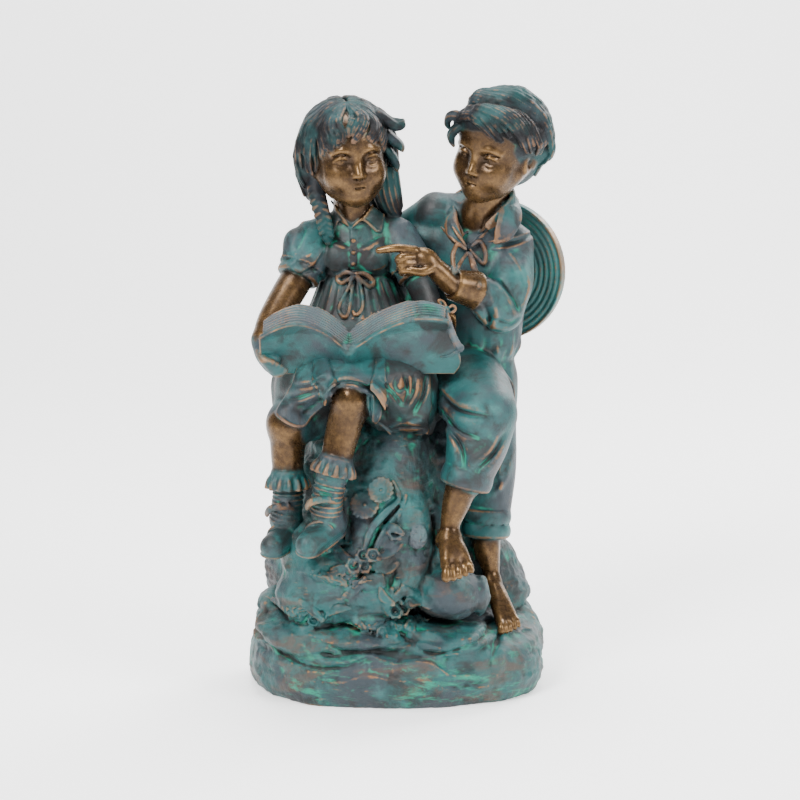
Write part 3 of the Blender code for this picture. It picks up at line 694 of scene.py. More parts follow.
BLOSSOMS = ((-9, 135, 7.4, 15), (-19, 125, 8.4, 17))
BELLS = (
    # x, z, radius
    (-15, 95, 3.6), (-21, 94, 3.6), (-27, 88, 4.0), (-1, 108, 4.2), (-20, 87, 3.0),
    (5, 67, 4.0), (-1, 58, 3.6), (4, 58, 3.0), (-47, 58, 3.2), (-52, 53, 2.8),
)
STEM_HOLLOWS = (((3, 127), (-6, 115), (-13, 103), (-16, 94)), ((-30, 120), (-31, 110), (-30, 100)))
STRAPS = (
    (((1, 129), (-8, 121), (-16, 111), (-20, 99)), 2.6),
    (((3, 123), (-5, 113), (-11, 103), (-14, 95)), 2.4),
    (((-2, 141), (1, 134), (2, 127)), 1.8),
    (((6, 132), (4, 126), (1, 118)), 1.7),
)
DISK_X, DISK_Z, DISK_PITS = 13, 106, 26
CLUMP = (-14, 77)
LEAF_WIDTH = 3.2
LEAVES = (
    ((-36, 101), (-38, 116), (-33, 134)), ((-30, 102), (-32, 114), (-32, 128)),
    ((8, 74), (3, 72), (-3, 66)), ((12, 62), (8, 66), (10, 72)), ((14, 70), (8, 72), (4, 76)),
    ((-3, 74), (-6, 66), (-5, 58)), ((-46, 57), (-54, 64), (-60, 68)), ((-25, 84), (-32, 88), (-40, 88)),
    ((-26, 92), (-34, 95), (-39, 101)), ((-11, 95), (-4, 97), (3, 101)), ((-12, 86), (-5, 86), (1, 90)),
    ((-20, 82), (-25, 75), (-32, 72)), ((-9, 112), (-2, 113), (4, 110)), ((9, 66), (15, 66), (20, 62)),
    ((-2, 66), (-8, 70), (-10, 76)), ((4, 54), (9, 51), (15, 52)), ((-53, 50), (-60, 48), (-66, 50)),
    ((-42, 60), (-36, 64), (-29, 64)),
)
TUFTS = (
    # x, z, size
    (-47, 80, 8), (-37, 78, 9), (-29, 76, 7), (-68, 56, 9), (-60, 53, 8), (-17, 47, 8), (-41, 97, 6),
    (10, 47, 6), (-6, 47, 5),
)
CURLS = ((8, 50), (14, 51), (-9, 49), (-3, 50))


def tuft(clay, x, z, size):
    """Seven thin blades that fan out from one foot."""
    for index in range(7):
        lean = (index - 3) * 0.34
        path = ((x + index - 3, z), (x + (index - 3) + lean * size * 0.6, z + size * 0.55),
                (x + (index - 3) * 1.2 + lean * size * 1.4, z + size * (0.7 + 0.1 * (index % 3))))
        leaf(clay, path, 1.2, lift=0.6)


def plants(clay):
    """Flowers, blades and tufts in the hollow between the children's feet."""
    clay.strokes(STEM_HOLLOWS, 3.0, -4.0, ROCK_FRONT)
    for x, z, radius, petals in BLOSSOMS:
        blossom(clay, x, z, radius, petals)
    disk = clay.surface((DISK_X, FRONT, DISK_Z), FORWARD)
    clay.ball(disk, (6.4, 3.6, 8.2), blend=0.4, paint=PAGES)
    for index in range(DISK_PITS):
        angle, reach = index * 2.4, 1.15 * math.sqrt(index)
        spot = (DISK_X + reach * math.cos(angle), FRONT, DISK_Z + 1.25 * reach * math.sin(angle))
        clay.ball(clay.surface(spot, FORWARD), (0.9, 0.8, 0.9), blend=0.3, cut=True)
    for path, width in STRAPS:
        strap(clay, path, width)
    for x, z, radius in BELLS:
        bell(clay, x, z, radius)
    clump = clay.surface((CLUMP[0], FRONT, CLUMP[1]), FORWARD)
    for index in range(6):
        lean = (index - 2.5) * 2.3
        path = (clump + vec((lean * 0.4, 1, -6)), clump + vec((lean, -2.6, 0)),
                clump + vec((lean * 0.9, -0.6, 6.5)))
        clay.limb(path, (1.4, 1.9, 1.2), blend=0.5, paint=BLOOM)
    for path in LEAVES:
        leaf(clay, path, LEAF_WIDTH)
    for x, z, size in TUFTS:
        if clay.surface((x, FRONT, z + size), FORWARD)[1] <= 0:
            tuft(clay, x, z, size)
    for x, z in CURLS:
        curl = ((x - 3, z - 3), (x - 2, z + 1), (x + 1, z + 2), (x + 3, z - 1))
        clay.limb(drape(clay, curl, 0.8), (1.0, 1.3, 1.2, 0.8), blend=0.4, paint=BLOOM)


# Girl

PLEATS = 26
FRILL_WAVES = 13
ARCH_SPREAD = math.radians(24)
ARCH_RISE = 24.0
SKIRT_LEVELS = (
    # height, x, y, half width, half depth
    (262, -25, 4, 22, 15), (250, -24.5, 2, 27, 20), (236, -24, -1, 34, 27), (224, -24, -5, 42, 38),
    (212, -25, -9, 48, 49), (198, -25, -8, 53, 52), (184, -25, -3, 53, 48), (172, -25, 4, 52, 43),
    (163, -25, 10, 50, 38),
)
BODICE_LEVELS = ((240, -24, -1, 32, 24), (251, -24.5, 2, 27, 19), (262, -25, 4, 22.5, 15.5),
                 (268, -25, 3.5, 22, 15.2), (276, -25, 2.5, 23.3, 16.5), (286, -25, 3, 24, 16),
                 (294, -25.5, 4, 21, 13.5), (300, -26, 4, 15, 10.5), (304, -26, 3, 11.5, 9.5),)


def along(start, end):
    """Local axes, as columns, with the third one along a limb, from end up to start."""
    up = vec(start) - vec(end)
    up = up / np.linalg.norm(up)
    side = np.cross((0, 1, 0), up)
    side = side / np.linalg.norm(side)
    return np.array([side, np.cross(up, side), up]).T


def girl_leg(clay, side):
    """A bare knee and shin, a ribbed sock with a frill at its top, and the shoe."""
    knee, ankle, toe = [vec(GIRL[joint + "_" + side]) for joint in ("knee", "ankle", "toe")]
    hip = vec(GIRL["hip_" + side])
    clay.limb((mix(hip, knee, 0.5), mix(hip, knee, 0.85), knee), (14, 13, 11.5), paint=SKIN)
    calf = mix(knee, ankle, 0.38) + vec((0, 2, 0))
    clay.limb((knee, calf, mix(knee, ankle, 0.8), ankle), (11.2, 10.6, 8.8, 8.2), blend=4, paint=SKIN)
    clay.ball(knee + vec((0, -6.5, 1)), (6.5, 5, 7.5), blend=5, paint=SKIN)
    frame = along(knee, ankle)
    cuff = mix(knee, ankle, 0.66)
    sock_end = ankle + vec((-2, 2, -14))
    clay.limb((mix(knee, ankle, 0.7), ankle, sock_end), (9.4, 9.3, 9.6), blend=1, paint=CLOTH,
              rib=2.9, rib_depth=0.9)

    def frill(angle, height):
        return 1.1 * np.cos(angle * FRILL_WAVES) * np.clip((1.0 - height) / 5.0, 0, 1)

    clay.stack(((3.2, 0, 0, 9.6, 9.6), (1.5, 0, 0, 10.6, 10.6), (-1, 0, 0, 11.2, 11.2),
                (-5, 0, 0, 13.2, 13.2), (-9, 0, 0, 14.0, 14.0)), ripple=frill, blend=0.8, paint=CLOTH,
               frame=(frame, cuff))
    girl_shoe(clay, ankle, toe)


def girl_shoe(clay, ankle, toe):
    """A strapped shoe with a welt along its sole and a buckled strap over the instep."""
    heel = ankle + vec((2, 8, -23))
    ahead = (toe - heel) / np.linalg.norm(toe - heel)
    sole = np.cross(ahead, (1, 0, 0))
    sole = sole / np.linalg.norm(sole) * (1 if sole[2] < 0 else -1)
    middle = mix(heel, toe, 0.5)
    clay.limb((heel - sole, middle - sole * 0.5, toe), (9.0, 8.4, 8.0), blend=2, paint=CLOTH)
    clay.limb((ankle + vec((-1, 1, -12)), heel - sole * 2), (9.4, 9), blend=2, paint=CLOTH)
    clay.limb((heel + sole * 5.6, middle + sole * 5.4, toe + sole * 4.6), (8.8, 8.8, 8.2), blend=0.6,
              paint=CLOTH, flat=0.28, facing=sole)
    for share, lift in ((0.24, 1.0), (0.40, 0.6), (0.54, 0.4)):
        spot = mix(heel, toe, share) - sole * 0.6
        ring = [spot + (vec((1, 0, 0)) * math.cos(a) * 9.0 - sole * math.sin(a) * (9.4 + lift))
                for a in radians(0, 40, 90, 140, 180)]
        clay.limb(ring, (1.1,) * 5, blend=0.5, paint=CLOTH)
    strap = ankle + vec((-3, -4, -8))
    side = vec((1, 0.2, 0.1))
    over = vec((-0.2, -0.8, 0.55))
    band = [strap + side * math.cos(a) * 9.6 + over * math.sin(a) * 9.6
            for a in radians(10, 50, 90, 130, 170)]
    clay.limb(band, (2.6,) * 5, blend=0.4, paint=CLOTH, flat=0.55, facing=lambda spot: spot - strap)
    for angle in radians(60, 90, 120):
        clay.ball(strap + side * math.cos(angle) * 10.6 + over * math.sin(angle) * 10.6,
                  (1.7, 1.2, 1.9), blend=0.4)


def from_front(angle):
    """How far round a section an angle lies from its front, in radians."""
    return np.mod(angle, 2 * math.pi) - 1.5 * math.pi


def girl_dress(clay):
    """The skirt over both thighs, arched between the knees, and the bodice above it."""
    def pleats(angle, height):
        behind = np.clip(1.0 - 1.6 * np.exp(-(from_front(angle) / 1.15) ** 2), 0, 1)
        fold = 2.6 * np.sin(angle * 11 + 0.6 * np.sin(angle * 3)) * np.clip((232 - height) / 40, 0, 1)
        return behind * fold + 0.35 * behind * np.sin(angle * 31)

    def arch(angle, height):
        away = from_front(angle) / ARCH_SPREAD
        return ARCH_RISE * np.exp(-away * away) * np.clip((212 - height) / 30, 0, 1)

    # Painted shade: the skirt and the pelvis are painted with the dark shade finish, for the shade that
    # falls on the lap
    clay.stack(SKIRT_LEVELS, power=2.2, ripple=pleats, arch=arch, blend=2, paint=PAINTED_SHADE)
    for side, share, radii in (("near", 0.90, (22, 20, 15.5)), ("far", 0.84, (21, 19, 15.5))):
        hip, knee = GIRL["hip_" + side], GIRL["knee_" + side]
        clay.limb((hip, mix(hip, knee, 0.5), mix(hip, knee, share)), radii, blend=5, paint=CLOTH)
    clay.limb(((-2, -20, 200), (10, -30, 190), (14, -26, 178)), (16, 14, 9), blend=6, paint=CLOTH)
    clay.ball(vec(GIRL["pelvis"]) + vec((0, 4, 8)), (38, 30, 28), blend=6, paint=PAINTED_SHADE)

    def gathers(angle, height):
        wave = 0.9 * np.cos(angle * PLEATS) * np.clip((264 - height) / 4, 0, 1)
        band = 0.9 * np.exp(-((height - 266.6) / 1.5) ** 2)
        return wave + band

    # Painted shade: the bodice, its bulges, the shoulders and the side between the children are painted
    # dark too
    clay.stack(BODICE_LEVELS, ripple=gathers, blend=3, paint=PAINTED_SHADE)
    for bulge in (-36, -15):
        clay.ball((bulge, -9, 277), (9.5, 7, 9), blend=5, paint=PAINTED_SHADE)
    clay.limb((GIRL["shoulder_near"], (-26, 6, 293), GIRL["shoulder_far"]), (10, 11, 10), blend=5,
              paint=PAINTED_SHADE)
    clay.ball(GIRL["side"], (18, 11, 30), blend=8, paint=PAINTED_SHADE,
              wave=lambda x, y, z: 0.4 * np.cos(x * 0.8 + 0.05 * z))
    clay.limb((GIRL["neck"], GIRL["neck_top"], (-29, -2, 326)), (10.5, 10, 10), blend=1.5, paint=SKIN)
    skirt_drapes(clay)
    bodice_details(clay)


DRAPE_FROM = -95
DRAPE_REACH = 16.0
FLAP = ((-46, 224), (-60, 218), (-64, 203), (-69, 193), (-74, 186), (-74.5, 183), (-70, 180),
        (-63, 176.4), (-56.4, 176), (-51, 183), (-45, 189), (-41, 196), (-39, 203))
KNEE_CLOTH = ((-52, 228), (-50, 206), (-44, 190), (-40.5, 198.6), (-38, 202), (-33, 205),
              (-26.5, 204.5), (-18, 200), (-17.5, 190), (-16, 182), (-12.6, 178), (-10, 183),
              (-8, 189.5), (-9, 195), (-6, 206), (-8, 228))
APRON = ((-10, 226), (-12, 204), (-13, 176), (-7, 171), (-4.4, 168), (-2.8, 162), (0.5, 158),
         (5.5, 157), (13, 160), (19, 165.5), (20.5, 170.5), (19, 176.5), (22, 186), (21, 206),
         (16, 226))


def hem(clay, path, radius):
    """A thin rolled edge that follows the clay's surface, as seen from the front."""
    clay.limb(drape(clay, path, 0.2), (radius,) * len(path), blend=0.8, paint=CLOTH, steps=4)


LAP_HEMS = (
    # path, radius
    (((-74.5, 184), (-70, 180.6), (-63, 177), (-57, 176.6), (-52, 182.5), (-45.5, 189)), 1.0),
    (((-43.5, 190.5), (-40.5, 198), (-38, 201.6), (-33, 204.4), (-26.5, 204), (-18, 200.4)), 1.7),
    (((-18, 200.4), (-9.5, 195), (-8.4, 189.5), (-10.4, 183), (-13, 178.5)), 1.1),
)
KNEE_ROLL = (((-44, 198), (-40, 205), (-33, 208.5), (-25, 208), (-15, 204)),)
KNEE_CREASE = (((-42, 195), (-38.5, 203), (-33, 206.3), (-25, 206), (-16, 202)),)
APRON_HEMS = (
    (((-12, 176), (-7, 172), (-4, 168), (-2.6, 162.5), (1, 159), (6, 158)), 1.0),
    (((-3.6, 173.5), (3, 177), (9, 179), (15, 179.5), (19.8, 174), (19, 168.5)), 0.9),
)
APRON_FOLDS = (
    ((-14, 208), (-5, 197), (0.5, 189), (4, 184)), ((15, 208), (13, 199), (8, 190), (5, 184)),
    ((-20, 210), (-11, 200), (-4, 188), (0, 178)), ((6, 180), (10, 176), (17, 178)),
)
APRON_TUCK = (((1, 208), (-1, 203), (2, 199), (6, 202), (5, 208)),)
APRON_CREASES = (
    ((-10, 208), (-2, 198), (3, 190)), ((6, 207), (7, 199), (5.5, 189)),
    ((11, 207), (10, 198), (7, 191)), ((-16, 204), (-9, 192), (-6, 178)),
    ((18, 205), (17, 196), (12, 186)), ((0, 172), (8, 174), (16, 173)), ((-1, 170), (8, 168), (16, 170)),
)
FLAP_FOLDS = (((-68, 196), (-60, 199), (-46, 206)), ((-70, 188), (-60, 191), (-46, 198)),
              ((-60, 205), (-52, 207), (-42, 212)))
FLAP_CREASES = (((-66, 192), (-57, 195.5), (-45, 202)), ((-62, 202), (-54, 203.5), (-44, 208)),
                ((-58, 183), (-52, 188), (-46, 194)))


def skirt_drapes(clay):
    """The cloth over the lap: a flap at one knee, the fold round the other and the apron."""
    # Painted shade: the apron is painted with the dark shade finish, for the shade under the book
    clay.overlay(APRON, 2.4, LAP_FRONT, paint=PAINTED_SHADE, soft=1.2)
    clay.overlay(FLAP, 2.4, LAP_FRONT, paint=CLOTH, soft=1.2)
    clay.overlay(KNEE_CLOTH, 2.2, LAP_FRONT, paint=CLOTH, soft=1.2)
    for path, radius in LAP_HEMS:
        hem(clay, path, radius)
    clay.strokes(KNEE_ROLL, 2.2, 1.8, LAP_FRONT)
    clay.strokes(KNEE_CREASE, 1.2, -1.4, LAP_FRONT)
    for path, radius in APRON_HEMS:
        hem(clay, path, radius)
    clay.strokes(APRON_FOLDS, 3.0, 1.8, LAP_FRONT)
    clay.strokes(APRON_TUCK, 1.6, -2.0, LAP_FRONT)
    clay.strokes(APRON_CREASES, 1.3, -2.2, LAP_FRONT)
    clay.strokes(FLAP_FOLDS, 3.2, 1.3, LAP_FRONT)
    clay.strokes(FLAP_CREASES, 1.3, -1.5, LAP_FRONT)


def drape(clay, path, lift):
    """Points of (x, z) dropped from the front on the clay, held that far off it; a point
    that falls behind the rest is drawn forward to them."""
    spots = [clay.surface((x, DRAPE_FROM, z), FORWARD) + vec((0, -lift, 0)) for x, z in path]
    front = min(spot[1] for spot in spots)
    for spot in spots:
        spot[1] = min(spot[1], front + DRAPE_REACH)
    return spots


COLLAR_LEFT = ((-41, 312), (-47, 297), (-44, 292), (-40, 291), (-36, 299), (-29.5, 295.5), (-35, 303))
COLLAR_RIGHT = ((-28.5, 294.5), (-21, 300), (-12, 292.4), (-8.7, 295), (-8, 303), (-12.6, 312),
                (-19.6, 303.5))
COLLAR_EDGES = (((-41, 310), (-35, 302.6), (-29.5, 295.5)),
                ((-28.5, 294.5), (-21, 300), (-12, 292.6), (-8.7, 295), (-8, 302)))
PLACKET = ((-29, 294), (-24.5, 294), (-24.5, 269), (-29, 269))
BUTTON_X, BUTTON_HEIGHTS = -26.8, (287, 280, 273)
BODICE_FOLDS = (((-45, 288), (-36, 284), (-30, 282)), ((-45, 272), (-40, 269), (-33, 269)),
                ((-8, 288), (-17, 283), (-24, 281)), ((-6, 272), (-12, 269), (-19, 269.5)))
BODICE_CREASES = (((-43, 292), (-36, 288), (-30, 285)), ((-10, 290), (-17, 287), (-23, 284)),
                  ((-20, 274), (-16, 279), (-13, 284)))
SASH_KNOT = (-26, 266.5)
SASH_LOOPS = (((-27, 267), (-32, 267.5), (-37, 263.5), (-34, 260.5), (-28, 265)),
              ((-25, 267), (-20, 266.5), (-14.5, 261.5), (-17, 258.5), (-24, 265)))
SASH_TAILS = (((-27, 265), (-30.5, 257), (-36, 246), (-33, 241), (-30, 243), (-28, 255), (-26.5, 264)),
              ((-25, 265), (-22, 257), (-21, 247), (-25, 242), (-27, 244)))


def bodice_details(clay):
    """Collar, buttoned placket and the sash tied in a bow under them."""
    clay.overlay(COLLAR_LEFT, 1.9, CHEST_FRONT)
    clay.overlay(COLLAR_RIGHT, 1.9, CHEST_FRONT)
    for edge in COLLAR_EDGES:
        hem(clay, edge, 0.8)
    clay.overlay(PLACKET, 0.8, CHEST_FRONT, soft=0.4)
    for height in BUTTON_HEIGHTS:
        clay.ball(drape(clay, ((BUTTON_X, height),), 0.6)[0], (1.4, 0.9, 1.4), blend=0.3)
    clay.strokes(BODICE_FOLDS, 1.6, 0.9, CHEST_FRONT)
    clay.strokes(BODICE_CREASES, 1.0, -0.8, CHEST_FRONT)
    clay.ball(drape(clay, (SASH_KNOT,), 1.2)[0], (2.6, 1.8, 2.2), blend=0.4)
    for loop in SASH_LOOPS:
        clay.limb(drape(clay, loop, 1.3), (1.1, 1.6, 1.7, 1.5, 1.0), blend=0.4, flat=0.7,
                  facing=(0, -1, 0))
    for tail in SASH_TAILS:
        clay.limb(drape(clay, tail, 1.1), [1.2] * len(tail), blend=0.4, flat=0.7, facing=(0, -1, 0))


def arm_sleeve(clay, shoulder, elbow, radii, cuff_share, folds=9):
    """A sleeve gathered into a band above the elbow."""
    shoulder, elbow = vec(shoulder), vec(elbow)
    frame = along(shoulder, elbow)
    length = np.linalg.norm(shoulder - elbow)

    def gathers(angle, height):
        low = -length * cuff_share
        return 0.8 * np.cos(angle * folds) * np.clip(1.0 - (height - low - 3) / 10.0, 0,
                                                     1) * (height > low + 2.5)

    top, swell, end = radii
    drop = -length * cuff_share
    levels = ((top * 0.8, 0, 0, top * 0.45, top * 0.45), (top * 0.4, 0, 0, top * 0.85, top * 0.85),
              (0, 0, 0, top, top), (drop * 0.5, 0, 0, swell, swell), (drop * 0.85, 0, 0, swell, swell),
              (drop + 4, 0, 0, end, end), (drop + 3, 0, 0, end + 0.8, end + 0.8),
              (drop - 2, 0, 0, end + 1.2, end + 1.2), (drop - 3.5, 0, 0, end, end))
    clay.stack(levels, ripple=gathers, blend=2.5, paint=CLOTH, frame=(frame, shoulder))


PUFF_FOLDS = (((-46, 290), (-52, 279), (-63, 275), (-70, 271)), ((-45, 284), (-50, 274), (-58, 270)),
              ((-58, 300), (-63, 290), (-68, 279)))
PUFF_CREASES = (((-48, 286), (-54, 277), (-64, 278)), ((-54, 298), (-59, 287), (-62, 281)),
                ((-46, 279), (-52, 271), (-60, 267)))


def girl_arms(clay):
    """Puffed sleeves and bare forearms; one hand holds the book's corner, one its far end."""
    arm_sleeve(clay, GIRL["shoulder_near"], GIRL["elbow_near"], (12.8, 14.8, 12.6), 0.86)
    arm_sleeve(clay, GIRL["shoulder_far"], GIRL["elbow_far"], (12, 13.5, 11), 0.90)
    clay.strokes(PUFF_FOLDS, 1.7, 1.4, PUFF_FRONT)
    clay.strokes(PUFF_CREASES, 1.1, -1.3, PUFF_FRONT)
    clay.ball((-63, -4, 285), (8, 9, 9), blend=5, paint=CLOTH)
    elbow, wrist = vec(GIRL["elbow_near"]), vec(GIRL["wrist_near"])
    clay.limb((mix(elbow, wrist, -0.15), mix(elbow, wrist, 0.3), (-77, -33, 239), (-81, -42, 229)),
              (10.4, 10.2, 9.4, 8.0), blend=1.0, paint=SKIN)
    clay.limb(((-81, -42, 229), (-80, -45, 222), (-77, -50, 217)), (8.0, 7.6, 6.6), blend=3, paint=CLOTH)
    for finger in range(4):
        across = 3.7 * finger
        clay.limb(((-84 + across * 0.5, -50, 223 - across * 0.9),
                   (-81 + across * 0.7, -56.5, 219 - across * 0.75),
                   (-76 + across * 0.7, -58, 217.5 - across * 0.45)), (2.8, 2.8, 2.2), blend=0.9,
                  paint=CLOTH)
    elbow, wrist = vec(GIRL["elbow_far"]), vec(GIRL["wrist_far"])
    # Painted shade: the far forearm is painted with the dark shade finish instead of skin, for the shade
    # it lies in
    clay.limb((mix(elbow, wrist, -0.15), mix(elbow, wrist, 0.5) + vec((0, 3, 0)), wrist),
              (8.8, 8.6, 7.4), blend=1.0, paint=PAINTED_SHADE)
    clay.limb((wrist, (29, -38, 240), (35, -45, 233)), (6.4, 6, 5), blend=2, paint=SKIN)
    clay.limb(((34, -44, 243), (39.5, -50, 239), (42, -53, 233), (40, -54, 227)), (2.8, 3.0, 2.7, 2.2),
              blend=0.8, paint=SKIN)


def plait(clay):
    """The tress that hangs over the shoulder, braided to a thin end."""
    path = smooth_path(((-49, 2, 330), (-50, -4, 318), (-47.5, -9, 308), (-44.5, -12, 298),
                        (-43, -13.5, 290)), 5)
    clay.limb(path, np.linspace(6.4, 4.0, len(path)), blend=1.5, paint=HAIR, steps=1)
    for index, spot in enumerate(path[2:-1]):
        side = 1 if index % 2 else -1
        size = 4.6 - 1.6 * index / len(path)
        clay.ball(spot + vec((1.9 * side, -3.2, 0)), (size, 2.6, size * 0.62), (0, 34 * side, 0),
                  blend=0.35, paint=HAIR)
    clay.ball((-42.6, -14, 288), (2.6, 2.4, 3.8), blend=0.6, paint=HAIR)
    clay.limb(((-8, 10, 330), (-6, 10, 316), (-3, 9, 306), (0, 8, 302)), (9, 9, 7, 3), blend=2,
              paint=HAIR, strands=5, facing=(0, -1, 0), strand_depth=0.4)


def girl_figure():
    """The seated girl below her chin, with the plait that hangs over her shoulder."""
    clay = Clay("girl_figure")
    for side in ("near", "far"):
        girl_leg(clay, side)
    girl_dress(clay)
    girl_arms(clay)
    plait(clay)
    return clay.piece()


# Boy

SHIRT_LEVELS = ((210, 53, 17, 22.5, 20.5), (214, 53.5, 17, 24.5, 22.5), (219, 54, 17, 25.5, 23.5),
                (230, 54.5, 17, 26, 23), (246, 55, 17, 28, 22), (262, 54.5, 17, 30.5, 21.5),
                (276, 53.5, 17, 31.5, 20.5), (288, 51.5, 17, 29, 18), (297, 49.5, 17, 22, 14.5),
                (305, 49, 15, 15, 12.5), (309, 49.5, 13, 12.5, 11.5),)


def boy_shirt(clay):
    """The loose shirt, one arm round the girl's shoulders and one that points at her book."""
    def bunches(angle, height):
        low = np.clip((232 - height) / 16, 0, 1)
        return 0.8 * np.sin(angle * 13 + 0.25 * height) * low + 0.3 * np.sin(angle * 27 + 1.0) * low

    clay.stack(SHIRT_LEVELS, ripple=bunches, blend=2, paint=CLOTH)
    clay.limb((BOY["shoulder_back"], (49, 19, 298), BOY["shoulder_front"]), (12, 14, 12.5), blend=6,
              paint=CLOTH)
    boy_back_arm(clay)
    clay.limb(((50, 11, 296), (55, 5, 311), (61, 6, 322)), (12, 11.5, 12.5), blend=1.5, paint=SKIN)
    boy_front_arm(clay)
    shirt_details(clay)


def boy_back_arm(clay):
    """The arm behind the girl, with its four fingers over her far shoulder."""
    clay.limb((BOY["shoulder_back"], BOY["elbow_back"], BOY["hand_back"]), (12, 11, 9), blend=3,
              paint=CLOTH)
    clay.limb(((8, 24, 286), (18, 20, 286), (30, 18, 284)), (9, 11, 11), blend=3, paint=CLOTH)
    clay.limb(((-28, 27, 288), (-36, 27, 288)), (6.5, 6.2), blend=1, paint=SKIN)
    clay.ball((-39, 25, 288), (6.5, 4.6, 7), blend=2.5, paint=SKIN)
    for finger in range(4):
        high = 293 - 3.6 * finger
        clay.limb(((-41, 25, high), (-47.5, 22, high - 0.5), (-52, 16, high - 2)), (2.6, 2.5, 2.0),
                  blend=0.7, paint=SKIN)


def boy_front_arm(clay):
    """The raised arm in its full sleeve, with a bronze cuff and the hand that points."""
    shoulder, elbow = vec(BOY["shoulder_front"]), vec(BOY["elbow_front"])
    clay.limb((shoulder, mix(shoulder, elbow, 0.5) + vec((2.5, 0, 0)), elbow + vec((0, 0, 1))),
              (13, 14.5, 13.5), blend=4, paint=CLOTH)
    cuff_near, cuff_far = vec(BOY["wrist_front"]), vec(BOY["cuff_front"])
    clay.limb((elbow, mix(elbow, cuff_far, 0.6), cuff_far, mix(cuff_far, cuff_near, 0.7)),
              (13.5, 12.4, 10.0, 8.2), blend=3, paint=CLOTH)
    clay.limb((mix(cuff_far, cuff_near, 0.6), cuff_near, (26, -37, 271), (19, -38.5, 277)),
              (7.4, 7.2, 6.6, 6.0), blend=0.8, paint=SKIN)
    frame = along(cuff_near, cuff_far)
    clay.stack(((-18.6, 0, 0, 9.6, 9.6), (-18, 0, 0, 11.4, 11.4), (-9, 0, 0, 10.4, 10.4),
                (-1, 0, 0, 9.4, 9.4), (0, 0, 0, 8.6, 8.6)), blend=0.4, paint=SKIN,
               frame=(frame, cuff_near), ripple=lambda angle, height: 0.5 * np.cos(angle * 2 + 0.6))
    boy_hand(clay)


def boy_hand(clay):
    """A hand that points, with the other fingers curled under."""
    clay.ball((16.5, -38.5, 279), (9, 5.4, 7), (0, 14, 0), blend=3, paint=SKIN)
    clay.limb(((11, -40, 284), (1, -42, 285.8), (-5, -42, 285.3), (-11, -41.5, 284.3)),
              (3.2, 2.7, 2.5, 2.0), blend=1.2, paint=SKIN)
    for finger in range(3):
        root = vec((10.5 + 1.2 * finger, -41, 280 - 3.7 * finger))
        clay.limb((root, root + vec((-7.5, -3.5, 0.2)), root + vec((-9, 0.5, -2)),
                   root + vec((-4, 2.5, -2.6))), (3.0, 2.8, 2.5, 2.2), blend=0.8, paint=SKIN)
    clay.limb(((22, -42, 274), (16, -45, 271.5), (9, -46, 272.5)), (3.2, 2.9, 2.4), blend=1.2, paint=SKIN)


COLLAR_STAND = ((40, -3, 291), (36, 4, 299), (38, 18, 309), (52, 27, 314), (68, 22, 315), (73.5, 9, 312),
                (68, -1, 304), (58, -6, 296))
COLLAR_FLAP_RIGHT = ((74, 10, 311), (72, -1, 303), (68, -8, 294), (63, -10.5, 287))
COLLAR_FLAP_LEFT = ((35, 4, 303), (34.5, -3, 296), (37, -8, 289), (42, -10, 283))
NECK_HEM = ((39.7, 288.8), (44.7, 291.3), (52.2, 291.3), (57.2, 297.1))
YOKE_RIDGES = (((46.4, 283.5), (64.8, 286.4), (86, 291)), ((60, 280.5), (72, 282.4), (86, 286)))
YOKE_SEAM = (((60, 283.4), (72, 285.2), (86, 288.6)),)
KERCHIEF_ENDS = (((31, 301), (43, 284)), ((28, 294), (42, 282)), ((57, 292), (48, 283)))
KERCHIEF_KNOT = (45, 282)
KERCHIEF_LOOPS = (((43, 283), (38, 286), (35, 279), (36, 271), (40, 275), (44, 281)),
                  ((47, 283), (52, 286), (55.5, 280), (55, 272), (50, 276), (46, 281)))
KERCHIEF_TAIL = ((45.5, 280), (48, 272), (51, 262))
SLEEVE_FOLDS = (((62, 262), (70, 252), (74, 242)), ((66, 232), (56, 236), (48, 246)),
                ((80, 272), (83, 258), (78, 244)), ((58, 256), (62, 244), (60, 234)),
                ((70, 280), (76, 272), (80, 262)))
SLEEVE_CREASES = (((66, 262), (74, 250), (78, 240)), ((60, 240), (70, 236), (76, 240)),
                  ((54, 250), (58, 240), (56, 230)))


def shirt_details(clay):
    """Collar, yoke seams, the knotted kerchief and the folds of the raised sleeve."""
    def around(spot):
        return vec((spot[0] - 54, spot[1] - 11, 0.15))

    clay.limb(COLLAR_STAND, (3.0, 4.6, 5.4, 5.6, 5.6, 5.4, 4.6, 3.0), blend=1.0, paint=CLOTH, flat=0.30,
              facing=around)
    clay.limb(COLLAR_FLAP_RIGHT, (4.5, 8.2, 7.0, 2.6), blend=0.6, paint=CLOTH, flat=0.24,
              facing=(0.45, -0.8, 0.35))
    clay.limb(COLLAR_FLAP_LEFT, (3.4, 5.0, 4.4, 2.0), blend=0.6, paint=CLOTH, flat=0.28,
              facing=(-0.35, -0.85, 0.3))
    hem(clay, NECK_HEM, 0.9)
    clay.strokes(YOKE_RIDGES, 1.0, 0.9, SHIRT_FRONT)
    clay.strokes(YOKE_SEAM, 1.0, -0.8, SHIRT_FRONT)
    for start, end in KERCHIEF_ENDS:
        clay.limb(drape(clay, (start, mix(start, end, 0.5), end), 0.7), (0.8, 1.2, 1.0), blend=0.5)
    clay.ball(drape(clay, (KERCHIEF_KNOT,), 1.4)[0], (2.4, 2.0, 2.4), blend=0.5)
    for loop in KERCHIEF_LOOPS:
        clay.limb(drape(clay, loop, 1.6), (1.0, 1.4, 1.6, 1.5, 1.3, 0.9), blend=0.5)
    clay.limb(drape(clay, KERCHIEF_TAIL, 1.3), (1.6, 2.2, 1.6), blend=0.5, flat=0.6, facing=(0, -1, 0))
    clay.strokes(SLEEVE_FOLDS, 2.2, 1.8, SLEEVE_FRONT)
    clay.strokes(SLEEVE_CREASES, 1.6, -1.8, SLEEVE_FRONT)


